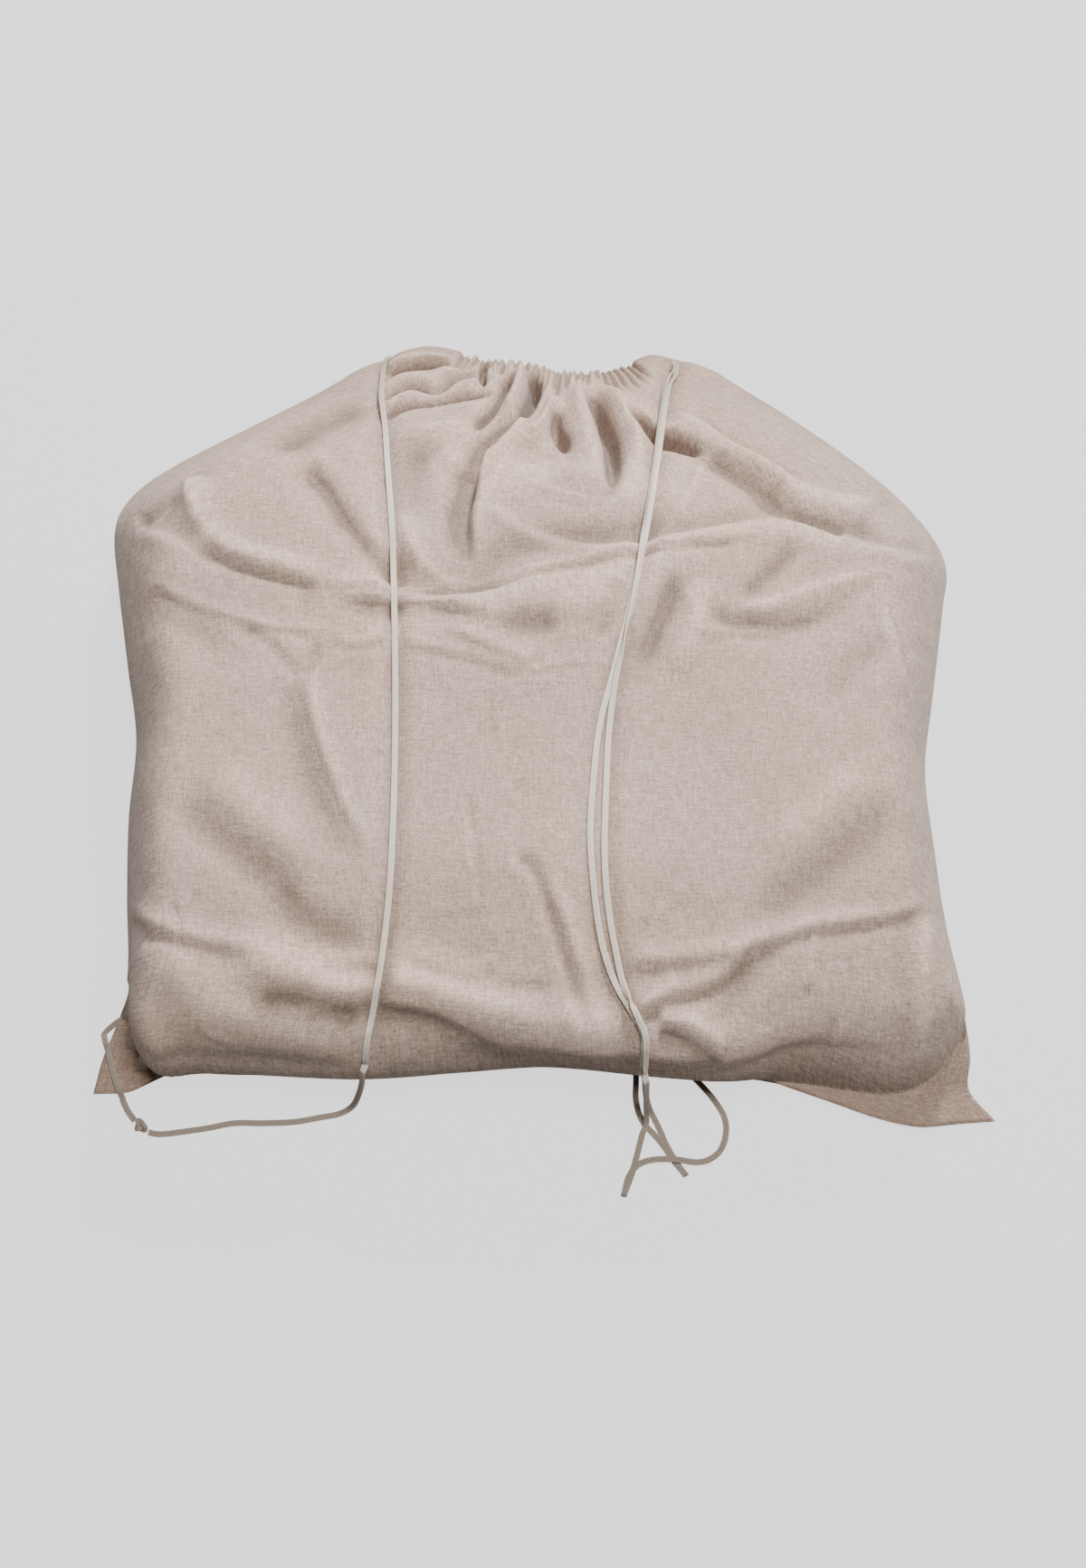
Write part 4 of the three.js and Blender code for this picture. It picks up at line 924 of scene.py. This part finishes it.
knot = {
    "centre": (-206.6, -231, 2.75), "turn": -52, "size": (3.3, 2.5, 1.55), "strand": 0.95, "wide": 1.15, "flat": 0.8,
    "rings": 120, "sides": 16, "stitches": 36, "stitchDepth": 0.1, "vee": 2,
}


# An overhand knot: x = sin t + 2 sin 2t, y = cos t - 2 cos 2t, z = -sin 3t, with a round section carried along it.
def knotPiece(name):
    t = np.linspace(0, 2 * np.pi, knot["rings"], endpoint=False)
    curve = np.stack([(np.sin(t) + 2 * np.sin(2 * t)) / 3, (np.cos(t) - 2 * np.cos(2 * t)) / 3, -np.sin(3 * t)], 1)
    curve *= knot["size"]
    along = unit(np.roll(curve, -1, 0) - np.roll(curve, 1, 0))
    out = unit(np.cross(along, np.cross((0.0, 0.0, 1.0), along)))
    across = np.cross(along, out)
    around = np.linspace(0, 2 * np.pi, knot["sides"], endpoint=False)
    side, face = np.cos(around) * knot["strand"], np.sin(around) * knot["strand"]
    stitch = np.cos(knot["stitches"] * t[:, None] - knot["vee"] * np.abs(np.cos(around)))
    braid = 1 + knot["stitchDepth"] * stitch
    points = sectionAlong(curve, across, out, side * knot["wide"] * braid, face * knot["flat"] * braid)
    turn = math.radians(knot["turn"])
    spin = np.array([[math.cos(turn), -math.sin(turn), 0], [math.sin(turn), math.cos(turn), 0], [0, 0, 1]])
    places = points.reshape(-1, 3) @ spin.T + np.array(knot["centre"]) + planShift
    piece = meshFrom(name, places, tubeQuads(knot["rings"], knot["sides"], True))
    setMask(piece, "stitchHeight", np.full(len(places), 0.5))
    return piece


knotTie = knotPiece("left_drawstring_knot")


# Materials

def addNode(tree, kind, inputs=(), **settings):
    node = tree.nodes.new(kind)
    for key, value in settings.items():
        setattr(node, key, value)
    for key, value in dict(inputs).items():
        if isinstance(value, bpy.types.NodeSocket):
            tree.links.new(value, node.inputs[key])
        else:
            node.inputs[key].default_value = value
    return node


def calculate(tree, operation, *values):
    return addNode(tree, "ShaderNodeMath", dict(enumerate(values)), operation=operation).outputs[0]


def mixColours(tree, factor, first, second, blend="MIX"):
    inputs = {0: factor, 6: first, 7: second}
    return addNode(tree, "ShaderNodeMix", inputs, data_type="RGBA", blend_type=blend).outputs[2]


# A colour multiplied by a tone over a share of it.
def toned(tree, share, colour, tone):
    return mixColours(tree, share, colour, mixColours(tree, 1.0, colour, tone, "MULTIPLY"))


# A value as a share of the way from low to high, between 0 and 1.
def fromRange(tree, value, low, high):
    return addNode(tree, "ShaderNodeMapRange", {"Value": value, "From Min": low, "From Max": high}).outputs[0]


def stretchedNoise(tree, place, scale, detail, roughness):
    stretched = addNode(tree, "ShaderNodeVectorMath", {0: place, 1: scale}, operation="MULTIPLY").outputs[0]
    inputs = {"Vector": stretched, "Scale": 1.0, "Detail": detail, "Roughness": roughness}
    return addNode(tree, "ShaderNodeTexNoise", inputs).outputs["Fac"]


def newGroup(name, inputs, outputs):
    tree = bpy.data.node_groups.new(name, "ShaderNodeTree")
    for sockets, way in ((inputs, "INPUT"), (outputs, "OUTPUT")):
        for label, kind in sockets.items():
            tree.interface.new_socket(label, in_out=way, socket_type="NodeSocket" + kind)
    return tree, tree.nodes.new("NodeGroupInput").outputs, tree.nodes.new("NodeGroupOutput").inputs


def useGroup(tree, group, inputs):
    return addNode(tree, "ShaderNodeGroup", inputs, node_tree=group).outputs


def newMaterial(name, finish):
    material = bpy.data.materials.new(name)
    material.use_nodes = True
    shader = material.node_tree.nodes["Principled BSDF"]
    for socket, value in finish.items():
        shader.inputs[socket].default_value = value
    return material, material.node_tree, shader


# Scale across the bag, up it and square to the cloth of each noise in the weave, with its detail and roughness.
weaveNoises = {
    "warp": ((1100.0, 260.0, 1.0), 3.0, 0.7),
    "weft": ((220.0, 1100.0, 1.0), 3.0, 0.7),
    "grain": ((760.0, 760.0, 1.0), 3.0, 0.75),
    "slubAcross": ((30.0, 520.0, 1.0), 2.0, 0.5),
    "slubAlong": ((520.0, 26.0, 1.0), 2.0, 0.5),
    "mottleAcross": ((90.0, 620.0, 1.0), 3.0, 0.7),
    "mottleAlong": ((560.0, 80.0, 1.0), 3.0, 0.7),
    "patch": ((11.0, 9.0, 1.0), 3.0, 0.5),
}
slubRange = {"slubAcross": (0.6, 0.78), "slubAlong": (0.62, 0.8)}


# Plain-woven cotton: warp and weft threads, a finer grain, thicker slubs, mottling and patches of tint. Place is in
# metres of cloth.
def weaveGroup():
    outputs = ("Thread", "Slub", "Mottle", "Patch")
    tree, given, made = newGroup("plainWeave", {"Place": "Vector", "Strength": "Float"},
                                 {label: "Float" for label in outputs})
    noise = {name: stretchedNoise(tree, given["Place"], *settings) for name, settings in weaveNoises.items()}
    threads = calculate(tree, "ADD", calculate(tree, "ADD", noise["warp"], noise["weft"]), noise["grain"])
    # A noise is 0.5 in the mean, so three of them are 1.5 and two are 1.
    thread = calculate(tree, "MULTIPLY", calculate(tree, "SUBTRACT", threads, 1.5), given["Strength"])
    slub = calculate(tree, "MAXIMUM", *(fromRange(tree, noise[name], *span) for name, span in slubRange.items()))
    mottle = calculate(tree, "SUBTRACT", calculate(tree, "ADD", noise["mottleAcross"], noise["mottleAlong"]), 1.0)
    for label, value in zip(outputs, (thread, slub, mottle, noise["patch"])):
        tree.links.new(value, made[label])
    return tree


# Painted shade and highlight: a colour that turns darker in hollows, where shade falls, and lighter on ridges, by how
# far the cloth stands out there in millimetres.
def paintedFoldShadeGroup():
    tree, given, made = newGroup(
        "paintedFoldShade",
        {"Colour": "Color", "Height": "Float", "Quiet": "Float", "Hollow Depth": "Float", "Hollow Shade": "Color",
         "Ridge Height": "Float", "Ridge Highlight": "Color"},
        {"Colour": "Color"},
    )
    lowest = calculate(tree, "MULTIPLY", given["Quiet"], -1.0)
    hollow = fromRange(tree, given["Height"], lowest, given["Hollow Depth"])
    ridge = fromRange(tree, given["Height"], given["Quiet"], given["Ridge Height"])
    darkened = toned(tree, hollow, given["Colour"], given["Hollow Shade"])
    tree.links.new(toned(tree, ridge, darkened, given["Ridge Highlight"]), made["Colour"])
    return tree


# Painted shade: a colour that turns darker towards the floor, where the bag and its cords lie in the bag's own shade.
def paintedLowShadeGroup():
    tree, given, made = newGroup(
        "paintedLowShade",
        {"Colour": "Color", "Place": "Vector", "Low": "Float", "High": "Float", "Tone": "Color"},
        {"Colour": "Color"},
    )
    level = addNode(tree, "ShaderNodeSeparateXYZ", {0: given["Place"]}).outputs["Z"]
    share = fromRange(tree, level, given["High"], given["Low"])
    tree.links.new(toned(tree, share, given["Colour"], given["Tone"]), made["Colour"])
    return tree


weave, paintedFoldShade, paintedLowShade = weaveGroup(), paintedFoldShadeGroup(), paintedLowShadeGroup()

clothLook = {
    "finish": {"Roughness": 0.95, "Specular IOR Level": 0.15, "Sheen Weight": 0.12, "Sheen Roughness": 0.5},
    "cool": (0.50, 0.372, 0.305, 1),
    "warm": (0.50, 0.362, 0.28, 1),
    "patch": (0.36, 0.64),
    "dark": (0.20, 0.16, 0.138, 1),
    "light": (0.84, 0.66, 0.56, 1),
    "weave": 1.0,
    "mottle": 0.85,
    "contrast": 0.6,
    "slubTone": 0.2,
    "slubHeight": 0.5,
    # Painted shade in the hollows of the folds and painted highlight on their ridges.
    "folds": {"Quiet": 0.2, "Hollow Depth": -2.5, "Hollow Shade": (0.56, 0.55, 0.54, 1),
              "Ridge Height": 2.1, "Ridge Highlight": (1.32, 1.32, 1.32, 1)},
    # Painted shade towards the floor.
    "lowShade": {"Low": 0.008, "High": 0.04, "Tone": (0.68, 0.65, 0.61, 1)},
    "weaveBump": {"Strength": 0.6, "Distance": 0.00025},
    "wrinkle": ((75.0, 55.0, 1.0), 4.0, 0.55),
    "wrinkleBump": {"Strength": 0.5, "Distance": 0.0018},
}


def clothMaterial(name, tone):
    material, tree, shader = newMaterial(name, clothLook["finish"])
    place = addNode(tree, "ShaderNodeUVMap", uv_map="clothPlace").outputs[0]
    woven = useGroup(tree, weave, {"Place": place, "Strength": clothLook["weave"]})
    patch = fromRange(tree, woven["Patch"], *clothLook["patch"])
    colour = mixColours(tree, patch, clothLook["cool"], clothLook["warm"])
    tint = calculate(tree, "ADD", woven["Thread"], calculate(tree, "MULTIPLY", woven["Mottle"], clothLook["mottle"]))
    colour = mixColours(tree, fromRange(tree, tint, 0.0, -clothLook["contrast"]), colour, clothLook["dark"])
    colour = mixColours(tree, fromRange(tree, tint, 0.0, clothLook["contrast"]), colour, clothLook["light"])
    slub = calculate(tree, "MULTIPLY", woven["Slub"], clothLook["slubTone"])
    colour = mixColours(tree, slub, colour, clothLook["light"])
    colour = mixColours(tree, 1.0, colour, (*tone, 1), "MULTIPLY")
    # Painted shade in the folds' hollows and painted highlight on their ridges.
    proud = addNode(tree, "ShaderNodeAttribute", attribute_name="foldHeight").outputs["Fac"]
    colour = useGroup(tree, paintedFoldShade, {"Colour": colour, "Height": proud, **clothLook["folds"]})["Colour"]
    # Painted shade towards the floor, where the cloth lies in the bag's own shade.
    solid = addNode(tree, "ShaderNodeTexCoord").outputs["Object"]
    colour = useGroup(tree, paintedLowShade, {"Colour": colour, "Place": solid, **clothLook["lowShade"]})["Colour"]
    tree.links.new(colour, shader.inputs["Base Color"])
    slubHeight = calculate(tree, "MULTIPLY", woven["Slub"], clothLook["slubHeight"])
    height = calculate(tree, "ADD", woven["Thread"], slubHeight)
    weaveBump = addNode(tree, "ShaderNodeBump", {**clothLook["weaveBump"], "Height": height}).outputs[0]
    wrinkle = stretchedNoise(tree, place, *clothLook["wrinkle"])
    inputs = {**clothLook["wrinkleBump"], "Height": wrinkle, "Normal": weaveBump}
    tree.links.new(addNode(tree, "ShaderNodeBump", inputs).outputs[0], shader.inputs["Normal"])
    return material


cordLook = {
    "finish": {"Roughness": 0.85, "Specular IOR Level": 0.2, "Sheen Weight": 0.15},
    # dark is painted shade between the stitches, mixed with a random fibre tone; light is the braid's own colour.
    "light": (0.97, 0.86, 0.75, 1),
    "dark": (0.46, 0.375, 0.305, 1),
    "darkToLight": (0.05, 0.7),
    # Painted shade towards the floor, where the cords lie in the bag's shade.
    "lowShade": {"Low": 0.006, "High": 0.065, "Tone": (0.42, 0.39, 0.36, 1)},
    "fibre": ((2600.0, 2600.0, 2600.0), 3.0, 0.6),
    "fibreTone": 0.7,
    "fibreBump": {"Strength": 0.4, "Distance": 0.00015},
}


def cordMaterial():
    material, tree, shader = newMaterial("braided_cotton", cordLook["finish"])
    height = addNode(tree, "ShaderNodeAttribute", attribute_name="stitchHeight").outputs["Fac"]
    place = addNode(tree, "ShaderNodeTexCoord").outputs["Object"]
    fibre = stretchedNoise(tree, place, *cordLook["fibre"])
    fuzz = calculate(tree, "MULTIPLY", calculate(tree, "SUBTRACT", fibre, 0.5), cordLook["fibreTone"])
    # Painted shade: darker where the stitches go down and in the middle groove.
    share = fromRange(tree, calculate(tree, "ADD", height, fuzz), *cordLook["darkToLight"])
    colour = mixColours(tree, share, cordLook["dark"], cordLook["light"])
    # Painted shade towards the floor, where the cord lies in the bag's shade.
    colour = useGroup(tree, paintedLowShade, {"Colour": colour, "Place": place, **cordLook["lowShade"]})["Colour"]
    tree.links.new(colour, shader.inputs["Base Color"])
    bump = addNode(tree, "ShaderNodeBump", {**cordLook["fibreBump"], "Height": fibre})
    tree.links.new(bump.outputs[0], shader.inputs["Normal"])
    return material


print("materials")
frontPanel.data.materials.append(clothMaterial("natural_cotton_front", (1.0, 1.0, 1.0)))
# The back's copy is multiplied darker and a little warmer: painted shade for the panel that lies underneath.
backPanel.data.materials.append(clothMaterial("natural_cotton_back", (0.94, 0.92, 0.9)))
braid = cordMaterial()
for piece in (leftFront, leftBack, rightInner, rightOuter, knotTie):
    piece.data.materials.append(braid)

# Bodies, and what each piece stands for: it goes on the root body, and the model's part that it stands for is hidden.
for piece, node, slotName in (
    (frontPanel, "front_panel", "front_cloth"), (backPanel, "back_panel", "back_cloth"),
    (leftFront, "left_cord_front", "cord"), (leftBack, "left_cord_back", "cord"),
    (knotTie, "left_cord_knot", "cord"), (rightInner, "right_cord_inner", "cord"),
    (rightOuter, "right_cord_outer", "cord"),
):
    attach(piece, "root")
    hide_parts(node)


# Floor, light and camera

print("floor, light and camera")
# The camera sees the floor as a nearly even pale backdrop, while other rays meet a duller one that throws little
# light back under the bag.
stageSettings = {
    "floorSize": 12, "seen": (0.9, 0.9, 0.9, 1), "bounced": (0.4, 0.4, 0.4, 1), "glow": 1.82, "even": 0.8,
    "worldStrength": 0.08,
}
bpy.ops.mesh.primitive_plane_add(size=stageSettings["floorSize"])
floor = bpy.context.object
floor.name = "floor"
floorMaterial, floorTree, floorShader = newMaterial("pale_floor", {"Roughness": 1.0, "Specular IOR Level": 0.0})
fromCamera = addNode(floorTree, "ShaderNodeLightPath").outputs["Is Camera Ray"]
floorColour = mixColours(floorTree, fromCamera, stageSettings["bounced"], stageSettings["seen"])
floorTree.links.new(floorColour, floorShader.inputs["Base Color"])
backdrop = addNode(floorTree, "ShaderNodeEmission", {"Strength": stageSettings["glow"]})
evenShare = calculate(floorTree, "MULTIPLY", fromCamera, stageSettings["even"])
floorMix = addNode(floorTree, "ShaderNodeMixShader", {0: evenShare, 1: floorShader.outputs[0], 2: backdrop.outputs[0]})
floorTree.links.new(floorMix.outputs[0], floorTree.nodes["Material Output"].inputs["Surface"])
floor.data.materials.append(floorMaterial)

lights = [
    {"name": "key", "place": (0.9, 2.6, 2.1), "size": 0.45, "power": 150},
    {"name": "overhead", "place": (0.4, -0.1, 2.8), "size": 0.8, "power": 80},
]
for light in lights:
    lamp = bpy.data.lights.new(light["name"], "AREA")
    lamp.shape = "DISK"
    lamp.size = light["size"]
    lamp.energy = light["power"]
    holder = bpy.data.objects.new(light["name"], lamp)
    holder.location = light["place"]
    holder.rotation_euler = (-Vector(light["place"])).to_track_quat("-Z", "Y").to_euler()
    bpy.context.scene.collection.objects.link(holder)

world = bpy.data.worlds.new("studio")
world.use_nodes = True
background = world.node_tree.nodes["Background"]
background.inputs["Color"].default_value = (1, 1, 1, 1)
background.inputs["Strength"].default_value = stageSettings["worldStrength"]
bpy.context.scene.world = world

view = {"elevation": 66, "distance": 1.15, "target": (0.00441, -0.04073, 0.0), "lens": 69, "sensor": 36}
lens = bpy.data.cameras.new("camera")
lens.sensor_fit = "HORIZONTAL"
lens.sensor_width = view["sensor"]
lens.lens = view["lens"]
camera = bpy.data.objects.new("camera", lens)
rise = math.radians(view["elevation"])
offset = Vector((0, -math.cos(rise), math.sin(rise))) * view["distance"]
camera.location = Vector(view["target"]) + offset
camera.rotation_euler = (math.radians(90) - rise, 0, 0)
bpy.context.scene.collection.objects.link(camera)
bpy.context.scene.camera = camera
